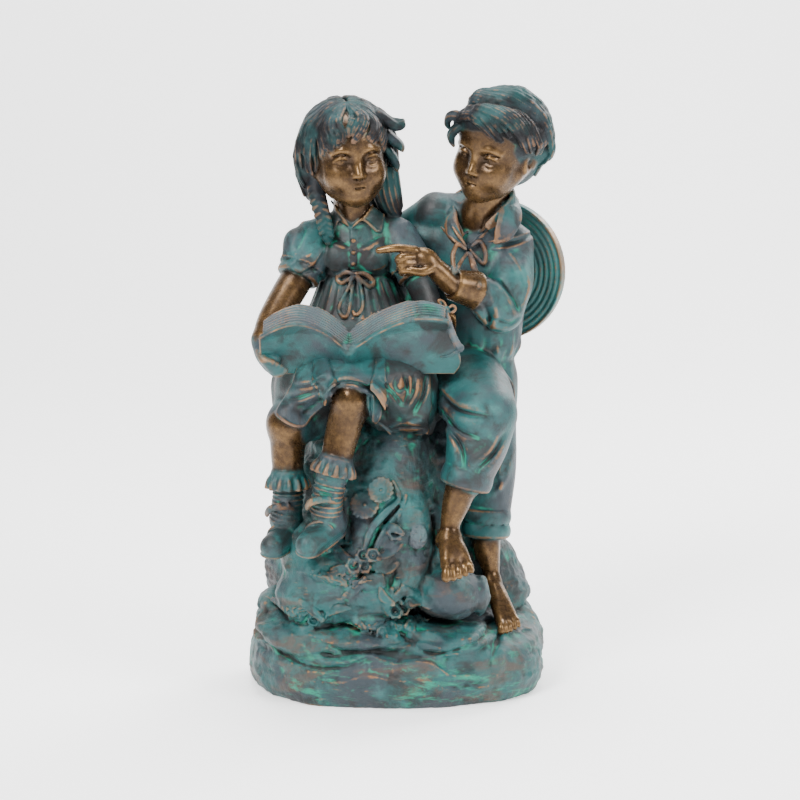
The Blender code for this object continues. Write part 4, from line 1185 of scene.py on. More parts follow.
def trouser_cuff(clay, top, bottom, radius, rolls):
    """A rolled-up trouser end, of one or two rolls."""
    frame = along(top, bottom)
    length = np.linalg.norm(vec(top) - vec(bottom))
    levels = [(0.5, 0, 0, radius - 1.5, radius - 1.5)]
    for roll in range(rolls):
        high = -length * roll / rolls
        low = -length * (roll + 1) / rolls
        for height, swell in ((high - 0.5, 0.2), (high + (low - high) * 0.5, 1.3), (low + 0.5, 0.4)):
            levels.append((height, 0, 0, radius + swell, radius + swell))
        if roll < rolls - 1:
            levels.append((low, 0, 0, radius - 1.2, radius - 1.2))
    levels.append((-length - 0.8, 0, 0, radius - 2, radius - 2))
    clay.stack(levels, blend=0.8, paint=CLOTH, frame=(frame, vec(top)),
               ripple=lambda angle, height: 0.15 * np.sin(angle * 5 + height * 0.3))


def boy_trousers(clay):
    """Trousers rolled up below the knee, the raised knee in front of the straight leg."""
    hip, knee = vec(BOY["hip_bent"]), vec(BOY["knee_bent"])
    clay.stack(((176, 56, 16, 18, 17), (186, 54, 16, 22, 20), (198, 53, 17, 23, 21),
                (206, 53, 17, 22.5, 20.5), (213, 53, 17, 22.5, 20.5)), blend=2, paint=CLOTH)
    clay.limb((hip, mix(hip, knee, 0.6) + vec((0, 0, 3)), knee), (24, 24, 20), blend=5, paint=CLOTH)
    cuff_top = vec((46, -40, 148))
    clay.limb((knee, mix(knee, cuff_top, 0.5) + vec((1, 2, 0)), cuff_top), (20, 19, 16), blend=5,
              paint=CLOTH)
    trouser_cuff(clay, (45.5, -41, 148), (42.5, -41.5, 137), 15.4, rolls=1)
    hip, knee = vec(BOY["hip_straight"]), vec(BOY["knee_straight"])
    clay.limb((hip, mix(hip, knee, 0.5), knee, (60, 8, 114)), (17, 16, 15, 14), blend=5, paint=CLOTH)
    trouser_cuff(clay, (58.5, 7, 112), (57.5, 5, 94), 14.6, rolls=2)
    trouser_folds(clay)


KNEE_FOLDS = (((24, 200), (36, 192), (54, 190)), ((24, 190), (36, 182), (56, 178)),
              ((64, 176), (58, 164), (46, 154)), ((68, 168), (62, 156), (54, 146)),
              ((26, 180), (34, 168), (36, 154)))
KNEE_CREASES = (((26, 195), (38, 187), (58, 184)), ((28, 184), (38, 174), (50, 170)),
                ((66, 172), (60, 160), (50, 150)), ((30, 176), (40, 164), (42, 152)))
SHANK_FOLDS = (((72, 205), (74, 190), (72, 170)), ((66, 200), (70, 180), (66, 150)),
               ((70, 160), (66, 140), (68, 120)), ((74, 150), (70, 134), (62, 124)))


def trouser_folds(clay):
    """Folds that run from the raised knee, and those down the straight leg."""
    clay.strokes(KNEE_FOLDS, 3.4, 2.2, KNEE_FRONT)
    clay.strokes(KNEE_CREASES, 1.8, -2.2, KNEE_FRONT)
    clay.strokes(SHANK_FOLDS, 2.2, 1.6, SHANK_FRONT)


def boy_feet(clay):
    """Both bare shins and feet, the raised one larger because it stands nearer."""
    ankle = vec(BOY["ankle_bent"])
    clay.limb(((42, -41, 141), (37.5, -39, 126), (34, -41, 114), ankle), (10.4, 8.8, 6.4, 5.6),
              blend=1.0, paint=SKIN)
    bare_foot(clay, ankle, vec(BOY["toe_bent"]), 1.1)
    ankle = vec(BOY["ankle_straight"])
    clay.limb(((57, 5, 97), (58.5, 3, 84), (60.5, 1, 74), ankle), (9.8, 8.2, 5.8, 5.2), blend=1.0,
              paint=SKIN)
    bare_foot(clay, ankle, vec(BOY["toe_straight"]), 0.85)


def bare_foot(clay, ankle, toe, size):
    """A bare foot, from the ankle bones and instep to five toes with their nails."""
    ahead = toe - ankle
    length = np.linalg.norm(ahead)
    ahead = ahead / length
    side = np.cross(ahead, (0, 0, 1))
    side = side / np.linalg.norm(side)
    over = np.cross(side, ahead)
    if over[2] < 0:
        over = -over
    ball = toe - ahead * 8.5 * size - over * 1.0
    for share in (-1, 0, 1):
        clay.limb((ankle + side * 1.2 * share,
                   mix(ankle, ball, 0.5) + side * 3.2 * size * share + over * 0.6 * size,
                   ball + side * 5.6 * size * share), (5.6 * size, 4.9 * size, 3.7 * size), blend=2.5,
                  paint=SKIN)
    clay.limb((ankle, ankle - ahead * 4 * size - over * 8 * size), (6 * size, 5.8 * size), blend=3,
              paint=SKIN)
    for bone in (-1, 1):
        clay.ball(ankle + side * 5.4 * size * bone - over * 1, (2.2 * size,) * 3, blend=2.0, paint=SKIN)
    for index in range(5):
        across = (index - 2.0) * 3.9 * size
        short = (0.4, 0.0, 0.9, 2.2, 3.8)[index] * size
        thick = (2.9, 2.2, 2.1, 2.0, 1.8)[index] * size
        root = toe - ahead * (11 * size + short) - side * across * 0.7 + over * 0.4
        knuckle = toe - ahead * (4.2 * size + short) - side * across * 0.95 + over * 0.9
        tip = toe - ahead * (short + 0.6) - side * across - over * 1.2 * size
        clay.limb((root, knuckle, tip), (thick * 0.8, thick * 0.88, thick * 0.98), blend=0.3, paint=SKIN)
        clay.ball(tip + over * thick * 0.8, (0.9 * size, 0.9 * size, 0.5), blend=0.3, paint=SKIN)


def boy_figure():
    """The standing boy below his chin, one foot raised on the stone."""
    clay = Clay("boy_figure")
    boy_feet(clay)
    boy_trousers(clay)
    boy_shirt(clay)
    return clay.piece()


# Heads

HEAD_SCALE = 0.99
HAIR_HEART = vec((0, 3, 2))


def face(clay):
    """A calm child's face in the head's own axes, facing -Y."""
    clay.ball((0, 3, 6), (22.5, 27, 25), blend=4, paint=SKIN)
    clay.ball((0, -7, -6), (18.6, 17.6, 21.6), blend=7, paint=SKIN)
    clay.ball((0, -12, 12), (17, 12, 13), blend=7, paint=SKIN)
    clay.ball((0, -18.6, -23.6), (6.4, 5.2, 4.6), blend=7, paint=SKIN)
    clay.ball((0, -18.5, -16.5), (8, 6.2, 7), blend=7, paint=SKIN)
    clay.limb(((0, 0, -14), (0, 4, -36)), (12, 10), blend=5, paint=SKIN)
    for side in (-1, 1):
        clay.ball((10.5 * side, -14.6, -11.5), (8.2, 8, 8.6), blend=8, paint=SKIN)
        clay.limb(((17 * side, -1, -12), (11 * side, -10, -21), (3 * side, -17, -25)), (5, 5, 4),
                  blend=7, paint=SKIN)
        clay.ball((9.6 * side, -27.0, -0.2), (6.2, 5.0, 4.4), blend=4.5, cut=True)
        clay.limb(((4.2 * side, -22.6, 5.4), (9.6 * side, -23.2, 7.0), (15 * side, -19, 4.8)),
                  (1.1, 1.3, 0.9), blend=3, paint=SKIN)
    clay.limb(((0, -22.2, 3.5), (0, -24.0, -2), (0, -26.2, -7.0), (0, -26.9, -8.8)),
              (2.4, 2.0, 2.5, 2.7), blend=3, paint=SKIN)
    for side in (-1, 1):
        clay.ball((2.9 * side, -24.8, -9.6), (1.9, 2.2, 1.7), blend=1.6, paint=SKIN)
        clay.ball((1.6 * side, -26.3, -11.4), (0.9, 1.2, 0.7), blend=0.8, cut=True)
        eye(clay, side)
        ear(clay, side)
    clay.limb(((-5.4, -22.4, -16.8), (-2.8, -24.2, -16.2), (-0.9, -24.9, -15.7), (0, -24.8, -15.9),
               (0.9, -24.9, -15.7), (2.8, -24.2, -16.2), (5.4, -22.4, -16.8)),
              (0.5, 1.0, 1.15, 1.0, 1.15, 1.0, 0.5), blend=1.4, paint=SKIN)
    clay.limb(((-4.6, -22.6, -17.8), (0, -24.2, -19.2), (4.6, -22.6, -17.8)), (0.6, 1.5, 0.6),
              blend=1.4, paint=SKIN)
    clay.limb(((-6.9, -22.0, -16.7), (-3.4, -24.9, -17.3), (0, -25.9, -17.3), (3.4, -24.9, -17.3),
               (6.9, -22.0, -16.7)), (0.45, 0.45, 0.45, 0.45, 0.45), blend=0.6, cut=True)


def eye(clay, side):
    """The eyeball, its upper and lower lids, the crease above them and the pupil."""
    clay.ball((9.6 * side, -17.0, -0.6), (5.4, 5.2, 5.0), blend=0.5, paint=SKIN)
    clay.limb(((4.7 * side, -20.2, -1.4), (6.9 * side, -22.1, 1.3), (9.8 * side, -22.6, 2.2),
               (12.9 * side, -21.0, 1.2), (14.9 * side, -18.4, -1.0)), (0.7, 1.0, 1.1, 1.0, 0.7),
              blend=0.9, paint=SKIN)
    clay.limb(((4.7 * side, -20.2, -1.6), (7.1 * side, -21.7, -3.3), (9.8 * side, -22.0, -3.9),
               (12.7 * side, -20.7, -3.2), (14.7 * side, -18.4, -1.4)), (0.6, 0.7, 0.8, 0.7, 0.6),
              blend=0.9, paint=SKIN)
    clay.limb(((5.2 * side, -21.4, 3.2), (9.8 * side, -23.4, 4.7), (14.4 * side, -19.4, 3.0)),
              (0.4, 0.5, 0.4), blend=0.8, cut=True)
    clay.ball((9.4 * side, -22.9, -0.7), (1.9, 0.9, 2.0), blend=0.5, cut=True)
    clay.ball((9.4 * side, -22.2, -0.7), (0.8, 0.5, 0.8), blend=0.3, paint=SKIN)


def ear(clay, side):
    """A shell with a rolled rim."""
    clay.ball((21.5 * side, 3.5, -4), (3, 5, 7.4), turn=(-12, 0, 14 * side), blend=2, paint=SKIN)
    rim = [(23.0 * side, -0.8 + 4.2 * (1 - math.cos(a)), -4 + 7.2 * math.sin(a))
           for a in radians(-50, -10, 30, 70, 115, 160, 205)]
    clay.limb(rim, (1.2,) * len(rim), blend=0.8, paint=SKIN)
    clay.ball((24.6 * side, 3.2, -3.4), (2.0, 2.6, 4.2), blend=1.0, cut=True)


def outward(azimuth, elevation):
    """Direction from the middle of the head: azimuth 0 faces front, 90 the viewer's right."""
    a, e = radians(azimuth, elevation)
    return vec((math.sin(a) * math.cos(e), -math.cos(a) * math.cos(e), math.sin(e)))


def on_hair(clay, aims, lifts):
    """A path on the hair's surface along directions from the middle of the head."""
    lifts = np.interp(np.linspace(0, 1, len(aims)), np.linspace(0, 1, len(lifts)), lifts)
    path = []
    for aim, lift in zip(aims, lifts):
        aim = aim / np.linalg.norm(aim)
        spot = clay.surface(HAIR_HEART + aim * 46.0, -aim)
        path.append(spot + aim * lift)
    return path


def radial(point):
    """The direction from the middle of the hair to a point."""
    away = vec(point) - HAIR_HEART
    return away / np.linalg.norm(away)


def comb(clay, sheaves):
    """Locks between pairs of guides; each guide is a row of (azimuth, elevation) pairs.
    All paths are found on the bare cap first, then laid with the last ones on top."""
    paths = []
    for number, (first, last, count, width, lifts) in enumerate(sheaves):
        first = smooth_path([outward(*pair) for pair in first], 4)
        last = smooth_path([outward(*pair) for pair in last], 4)
        for index in reversed(range(count)):
            share = index / max(count - 1, 1)
            sway = math.sin(5.1 * index + 2.3 * number)
            aims = first * (1 - share) + last * share
            along = np.linspace(0, 1, len(aims))[:, None]
            across = (last - first) / count
            aims = aims + across * 0.34 * sway * np.sin(along * 5.6 + 1.1 * index)
            cut = len(aims) - int(2.2 * (0.5 + 0.5 * math.sin(7.7 * index + number)))
            aims = aims[:cut]
            paths.append((width * (1.0 + 0.16 * sway), on_hair(clay, aims, lifts)))
    for index, (width, path) in enumerate(paths):
        shares = np.linspace(0, 1, len(path))
        radii = width * (0.30 + 0.70 * np.sin(math.pi * np.clip(0.22 + 0.70 * shares, 0, 1)) ** 0.8)
        clay.limb(path, radii, blend=0.45, paint=HAIR, flat=0.52, facing=radial, strands=2 + index % 2,
                  strand_depth=0.26, steps=1)


GIRL_SHEAVES = (
    # first guide, last guide, count, width, lift from root to tip
    (((178, 76), (174, 48), (172, 20), (170, -8), (168, -40)),
     ((104, 80), (108, 50), (106, 22), (112, -12), (118, -52)), 8, 3.9, (0.2, 0.8, 0.4)),
    (((-178, 76), (-174, 48), (-172, 20), (-170, -8), (-168, -36)),
     ((-104, 80), (-108, 50), (-108, 20), (-106, -8), (-106, -44)), 8, 3.9, (0.2, 0.8, 0.4)),
    (((112, 80), (114, 52), (114, 22), (112, -16), (110, -54)),
     ((60, 82), (70, 56), (72, 32), (74, -4), (82, -48)), 6, 3.4, (0.2, 0.9, 0.5)),
    (((-104, 82), (-106, 54), (-106, 24), (-104, -6), (-104, -40)),
     ((-50, 82), (-62, 56), (-68, 34), (-70, 10), (-76, -22)), 7, 3.3, (0.2, 1.0, 0.6)),
    (((50, 80), (60, 58), (62, 38), (58, 18), (52, 2)),
     ((18, 78), (30, 58), (32, 42), (24, 30), (12, 21)), 7, 3.0, (0.2, 1.3, 0.9)),
    (((-44, 80), (-60, 56), (-60, 34), (-54, 14), (-56, -2)),
     ((-10, 78), (-22, 58), (-24, 42), (-18, 28), (-20, 18)), 7, 3.0, (0.2, 1.3, 0.9)),
    (((14, 78), (20, 58), (18, 44), (6, 32), (-6, 20)),
     ((-2, 76), (4, 60), (0, 46), (-10, 34), (-12, 24)), 3, 2.7, (0.4, 1.7, 1.2)),
)


def hair_cap(clay, thick=0.0):
    """The smooth mass of hair that the locks lie on."""
    clay.ball((0, 6.5, 8.5), (25.5 + thick, 27 + thick, 25 + thick), blend=1.0, paint=HAIR)
    clay.ball((0, 12, -5), (24 + thick, 19 + thick, 22), blend=4, paint=HAIR)


def head_place(pose):
    """The matrix that sets a head on its neck."""
    back = -Vector(pose["facing"]).normalized()
    up = Vector(pose["crown"])
    up = (up - back * up.dot(back)).normalized()
    turn = Matrix((back.cross(up), back, up)).transposed().to_4x4()
    return Matrix.Translation(Vector(pose["head"]) * MM) @ turn @ Matrix.Scale(HEAD_SCALE, 4)


def girl_head():
    """Parted hair: a fringe swept to both sides, and locks that flick out on one side."""
    clay = Clay("girl_head")
    face(clay)
    hair_cap(clay)
    clay.limb(((-19, 4, 16), (-24, 5, 4), (-25, 8, -8), (-21, 12, -26)), (7, 7.5, 7, 6), blend=5,
              paint=HAIR)
    clay.limb(((19, 4, 16), (23.5, 5, 4), (24, 8, -10), (22, 12, -30), (22, 15, -40)),
              (7, 7.5, 8, 8, 8), blend=5, paint=HAIR)
    clay.limb(((0, -16, 24), (0, 0, 35), (0, 22, 30)), (1.2, 1.6, 1.2), blend=3, cut=True)
    comb(clay, GIRL_SHEAVES)
    for path in (((21, -6, 23), (27, -8, 18), (31, -8, 17), (33.5, -9, 18.5)),
                 ((22, -5, 13), (28, -7, 7), (31, -8, 4), (32.5, -9, 1)),
                 ((22, -3, 4), (26.5, -4, -3), (29, -5, -8), (29.5, -6, -12))):
        clay.limb(path, (5.6, 5.8, 4.8, 2.0), blend=0.8, paint=HAIR, flat=0.55, facing=radial, strands=2,
                  strand_depth=0.3)
    return clay.piece(head_place(GIRL))


BOY_SHEAVES = (
    (((-176, 74), (-174, 46), (-172, 18), (-170, -8), (-168, -36)),
     ((120, 84), (130, 56), (132, 28), (134, 0), (132, -34)), 8, 4.0, (0.2, 1.0, 0.4)),
    (((-170, 76), (-168, 48), (-166, 20), (-166, -6), (-166, -34)),
     ((-104, 70), (-112, 46), (-114, 20), (-112, -4), (-112, -26)), 8, 4.0, (0.2, 1.0, 0.4)),
    (((-104, 68), (-110, 46), (-112, 22), (-108, 2), (-104, -16)),
     ((-46, 50), (-58, 42), (-72, 30), (-76, 16), (-72, 0)), 6, 3.6, (0.2, 1.2, 0.6)),
    (((120, 60), (124, 40), (126, 16), (126, -8), (124, -34)),
     ((92, 50), (100, 34), (106, 18), (108, -4), (112, -30)), 4, 3.6, (0.4, 0.9, 0.5)),
    (((-100, 76), (-150, 86), (126, 74), (122, 44), (126, 0)),
     ((-62, 62), (-30, 76), (76, 76), (98, 52), (108, 2)), 6, 4.0, (0.3, 1.8, 0.8)),
    (((-62, 62), (-28, 74), (62, 74), (94, 50), (106, 4)),
     ((-48, 50), (-20, 60), (26, 64), (70, 48), (90, 6)), 6, 3.6, (0.3, 2.0, 0.9)),
    (((-50, 52), (-22, 62), (22, 62), (62, 46), (86, 6)),
     ((-38, 38), (-20, 46), (4, 48), (34, 40), (66, 12)), 6, 3.3, (0.3, 2.2, 1.0)),
    (((-42, 44), (-22, 50), (0, 50), (24, 42), (48, 22)),
     ((-34, 30), (-20, 36), (-6, 37), (8, 32), (22, 24)), 5, 2.8, (0.4, 2.0, 1.0)),
)


def boy_head():
    """Thick waves swept from one side of the brow across the crown."""
    clay = Clay("boy_head")
    face(clay)
    hair_cap(clay, 0.6)
    clay.limb(((-16, -18, 18), (0, -21, 24), (17, -15, 24), (25, 0, 12)), (5, 6, 7, 7), blend=7,
              paint=HAIR)
    clay.limb(((-10, -6, 30), (8, 4, 31), (20, 10, 22), (24, 14, 4)), (6, 7, 8, 8), blend=8, paint=HAIR)
    comb(clay, BOY_SHEAVES)
    for path in (((-13, -20, 20), (-17, -23, 23), (-22, -23, 21), (-24, -22, 16), (-22, -22, 13)),
                 ((-13, -22, 18), (-16, -24, 15), (-19, -24, 10), (-19, -23, 6), (-17, -23, 3))):
        clay.limb(path, (3.4, 3.8, 3.6, 2.6, 1.0), blend=0.8, paint=HAIR, flat=0.7, facing=radial,
                  strands=2, strand_depth=0.3)
    return clay.piece(head_place(BOY))


# Book and hat

BOOK_SPINE = vec((-29.0, -44.0, 209.0))
BOOK_TILT = math.radians(44.0)
BOOK_LEFT, BOOK_RIGHT = 54.0, 72.0
PAGE_HEIGHT, PAGE_STACK = 30.0, 19.0
PAGE_LINE, PAGE_LINE_DEPTH = 1.9, 0.45
ARCH_LEFT, ARCH_RIGHT = 12.0, 15.0
RIGHT_TAPER = 0.16
CORNER_ROUND, CORNER_HEIGHT = 9.0, 12.0
GUTTER = 3.2


def open_book():
    """Two arched page blocks in their covers, in the book's own axes: x across, y up the
    page from the tail to the head, z from the covers to the pages."""
    clay = Clay("open_book")
    window = clay.window(*EVERYWHERE)
    x, y, z = clay.grid(window)
    x, y, z = np.broadcast_arrays(x, y, z)
    left = x < 0
    right_edge = BOOK_RIGHT * (1.0 - RIGHT_TAPER * y / PAGE_HEIGHT)
    share = np.clip(np.where(left, -x / BOOK_LEFT, x / right_edge), 0, 1.4)
    end = np.clip(y / PAGE_HEIGHT, 0, 1)
    lift = end * np.where(left, ARCH_LEFT * np.sin(math.pi * np.clip(share * 0.92, 0, 1)),
                          ARCH_RIGHT * np.sin(math.pi * np.clip(share * 0.62, 0, 1)))
    rise, into = math.sin(BOOK_TILT), math.cos(BOOK_TILT)
    floor = lift * into
    head = PAGE_HEIGHT - 8 * (1 - share) ** 2 + lift * rise
    page = PAGE_STACK * (1.0 - 0.3 * share * share)
    waves = PAGE_LINE_DEPTH * np.sin((z - floor) * (2 * math.pi / PAGE_LINE) + 0.8 * np.sin(x * 0.25))
    corner = CORNER_ROUND * np.clip(1.0 - y / CORNER_HEIGHT, 0, 1) ** 2
    across = np.where(left, -x - BOOK_LEFT + corner,
                      x - BOOK_RIGHT * (1.0 - RIGHT_TAPER * end) + 0.8 * corner)
    block = np.maximum.reduce([floor + 2.2 - z, z - floor - page, y - head + 0.6 + waves, -y + 1.5,
                               across + 2.0 + waves])
    gutter = GUTTER * np.exp(-(x / GUTTER) ** 2)
    block = np.maximum(block, z - floor - page + gutter)
    clay.join(window, block.astype(np.float32), 0.6, PAGES)
    cover = np.maximum.reduce([floor - 0.6 - z, z - floor - 2.6, y - head - 1.4, -y - 1.0, across - 0.5])
    clay.join(window, cover.astype(np.float32), 0.5, CLOTH)
    clay.limb(((0, -1, 2), (0, PAGE_HEIGHT - 8, 1.2)), (4.2, 4.4), blend=2, paint=CLOTH)
    ribbon(clay)
    axes = Matrix(((1, 0, 0), (0, -into, rise), (0, rise, into)))
    place = Matrix.Translation(Vector(BOOK_SPINE * MM)) @ axes.to_4x4()
    return clay.piece(place)


def on_book(point):
    """A point of the statue in the book's own axes."""
    across, back, up = vec(point) - BOOK_SPINE
    rise, into = math.sin(BOOK_TILT), math.cos(BOOK_TILT)
    return vec((across, -into * back + rise * up, rise * back + into * up))


RIBBON_LOOPS = (((30, -51, 249), (27, -50, 252), (26, -49.5, 254.5), (29, -49.5, 253.5),
                 (31, -51, 250)), ((31, -51, 249), (34, -50.5, 251.5), (36, -50, 250),
                                   (34.5, -50.5, 247.5), (31, -51, 248)))
RIBBON_KNOT = (30.5, -51, 249)
RIBBON_TAIL = (RIBBON_KNOT, (31.5, -56, 243), (33.5, -62, 237), (36.5, -66, 231), (39, -65, 228))
TASSEL = (38.5, -64, 227.5)


def ribbon(clay):
    """The tied bookmark ribbon with its tassel, at the book's right-hand end."""
    # Painted shade: the bow's loops are painted with the dark shade finish
    for loop in RIBBON_LOOPS:
        clay.limb([on_book(spot) for spot in loop], (0.8, 1.0, 1.1, 1.0, 0.8), blend=0.4, paint=PAINTED_SHADE)
    clay.ball(on_book(RIBBON_KNOT), (2.0,) * 3, blend=0.4, paint=CLOTH)
    clay.limb([on_book(spot) for spot in RIBBON_TAIL], (1.2, 2.2, 2.3, 2.2, 1.8), blend=0.4, paint=PAGES,
              flat=0.6, facing=(0, 0.5, -0.9))
    clay.ball(on_book(TASSEL), (2.8,) * 3, blend=0.6, paint=CLOTH)
    for index in range(6):
        drop = index - 2.5
        strand = ((38, -64, 227), (35 + drop, -64, 224 + 0.5 * drop),
                  (31.5 + 1.7 * drop, -62, 222.5 + 0.4 * drop))
        clay.limb([on_book(spot) for spot in strand], (1.2, 1.0, 0.7), blend=0.4, paint=CLOTH)


HAT_CENTER = vec((66, 47, 262))
HAT_RADIUS = 45.0
HAT_YAW = math.radians(-22)
BRIM_HALF, BRIM_DISH = 3.0, 3.0
CROWN_RADIUS, CROWN_DEPTH = 26.0, 20.0
BRAID_PITCH, BRAID_RISE = 3.6, 1.0
STRAWS = 84


def straw_hat():
    """A round hat in its own axes: z through the crown, which points to the back."""
    clay = Clay("straw_hat")
    window = clay.window(*EVERYWHERE)
    x, y, z = clay.grid(window)
    radius = np.sqrt(x * x + y * y)
    angle = np.arctan2(y, x)
    ridge = BRAID_RISE * np.abs(np.sin(radius * math.pi / BRAID_PITCH))
    ridge = ridge + 0.05 * np.sin(angle * STRAWS + radius * 1.7)
    dish = BRIM_DISH * (radius / HAT_RADIUS) ** 2
    brim = np.maximum(np.abs(z - dish) - BRIM_HALF, radius - HAT_RADIUS) - ridge
    clay.join(window, np.broadcast_to(brim, clay.field.shape).astype(np.float32), 1.0, STRAW)
    crown = np.sqrt((radius / CROWN_RADIUS) ** 2 + ((z + 2) / CROWN_DEPTH) ** 2)
    crown = (crown - 1.0) * CROWN_DEPTH - 0.75 * np.abs(np.sin(z * math.pi / BRAID_PITCH)) * (radius > 8)
    crown = np.where(z > 0, FAR, crown)
    clay.join(window, np.broadcast_to(crown, clay.field.shape).astype(np.float32), 3.0, STRAW)
    turn = Matrix.Rotation(HAT_YAW, 4, "Z") @ Matrix.Rotation(math.radians(90), 4, "X")
    return clay.piece(Matrix.Translation(Vector(HAT_CENTER * MM)) @ turn)


# Finish

TEAL = (0.009, 0.062, 0.062)
PALE_TEAL = (0.034, 0.138, 0.130)
SLATE = (0.020, 0.030, 0.037)
CHARCOAL = (0.011, 0.009, 0.009)
SOOT = (0.005, 0.005, 0.006)
PEARL = (0.085, 0.092, 0.105)
# Near black: painted shade for creases and hollows
CREASE_SHADE = (0.002, 0.003, 0.003)
VERDIGRIS = (0.004, 0.190, 0.118)
COPPER = (0.300, 0.150, 0.070)
UMBER = (0.034, 0.018, 0.008)
GOLD = (0.370, 0.210, 0.078)
EARTH = (0.060, 0.036, 0.026)

# Noises: features per metre, detail, roughness, stretch and warp
CLOUDS = dict(scale=26, detail=5, rough=0.6)
PATCHES = dict(scale=58, detail=6, rough=0.62, warp=0.4)
FLECKS = dict(scale=420, detail=5, rough=0.65)
GRAIN = dict(scale=1500, detail=3, rough=0.6)
DARK_PATCHES = dict(scale=48, detail=6, rough=0.65, warp=0.6)
EARTH_PATCHES = dict(scale=40, detail=7, rough=0.7, stretch=(0.6, 0.6, 1.5), warp=0.8)
BRIGHT_PATCHES = dict(scale=95, detail=7, rough=0.72, stretch=(0.35, 0.35, 1.2), warp=0.5)
GREEN_PATCHES = dict(scale=62, detail=5, rough=0.6)
STREAKS = dict(scale=260, detail=4, rough=0.6, stretch=(0.30, 0.30, 1.6), warp=0.6)
SHINE = dict(scale=240, detail=6, rough=0.75)
BRUSH = dict(scale=900, detail=3, rough=0.6, stretch=(1, 1, 0.25), warp=0.6)
BASE_LOW, BASE_HIGH = 0.014, 0.050


class Nodes:
    """A short way to write a shader."""

    def __init__(self, material):
        material.use_nodes = True
        self.tree = material.node_tree
        self.shader = self.tree.nodes["Principled BSDF"]

    def link(self, source, socket):
        self.tree.links.new(source, socket)

    def attribute(self, name):
        node = self.tree.nodes.new("ShaderNodeAttribute")
        node.attribute_name = name
        return node.outputs["Fac"]

    def noise(self, scale, detail=4.0, rough=0.55, stretch=(1, 1, 1), warp=0.0):
        """Cloudy noise; scale counts features per metre."""
        place = self.tree.nodes.new("ShaderNodeTexCoord").outputs["Object"]
        sizing = self.tree.nodes.new("ShaderNodeMapping")
        sizing.inputs["Scale"].default_value = stretch
        self.link(place, sizing.inputs["Vector"])
        node = self.tree.nodes.new("ShaderNodeTexNoise")
        node.inputs["Scale"].default_value = scale
        node.inputs["Detail"].default_value = detail
        node.inputs["Roughness"].default_value = rough
        node.inputs["Distortion"].default_value = warp
        self.link(sizing.outputs["Vector"], node.inputs["Vector"])
        return node.outputs["Fac"]

    def height(self):
        """How far up the object's own z axis a point is, in metres."""
        place = self.tree.nodes.new("ShaderNodeTexCoord").outputs["Object"]
        parts = self.tree.nodes.new("ShaderNodeSeparateXYZ")
        self.link(place, parts.inputs["Vector"])
        return parts.outputs["Z"]

    def ramp(self, value, low, high):
        """0 below low, 1 above high, smooth between."""
        node = self.tree.nodes.new("ShaderNodeMapRange")
        node.interpolation_type = "SMOOTHSTEP"
        node.inputs["From Min"].default_value = low
        node.inputs["From Max"].default_value = high
        self.link(value, node.inputs["Value"])
        return node.outputs["Result"]

    def math(self, kind, a, b):
        node = self.tree.nodes.new("ShaderNodeMath")
        node.operation = kind
        for value, socket in zip((a, b), node.inputs):
            if isinstance(value, (int, float)):
                socket.default_value = value
            else:
                self.link(value, socket)
        return node.outputs[0]

    def times(self, a, b):
        return self.math("MULTIPLY", a, b)

    def mix(self, share, a, b):
        """Colour a where share is 0 and b where it is 1."""
        node = self.tree.nodes.new("ShaderNodeMix")
        node.data_type = "RGBA"
        sockets = {socket.identifier: socket for socket in node.inputs}
        for value, name in ((a, "A_Color"), (b, "B_Color")):
            if isinstance(value, tuple):
                sockets[name].default_value = (*value, 1.0)
            else:
                self.link(value, sockets[name])
        self.link(share, sockets["Factor_Float"])
        return [socket for socket in node.outputs if socket.identifier == "Result_Color"][0]

    def blend(self, share, a, b):
        """Number a where share is 0 and b where it is 1."""
        return self.math("ADD", self.times(share, self.math("SUBTRACT", b, a)), a)


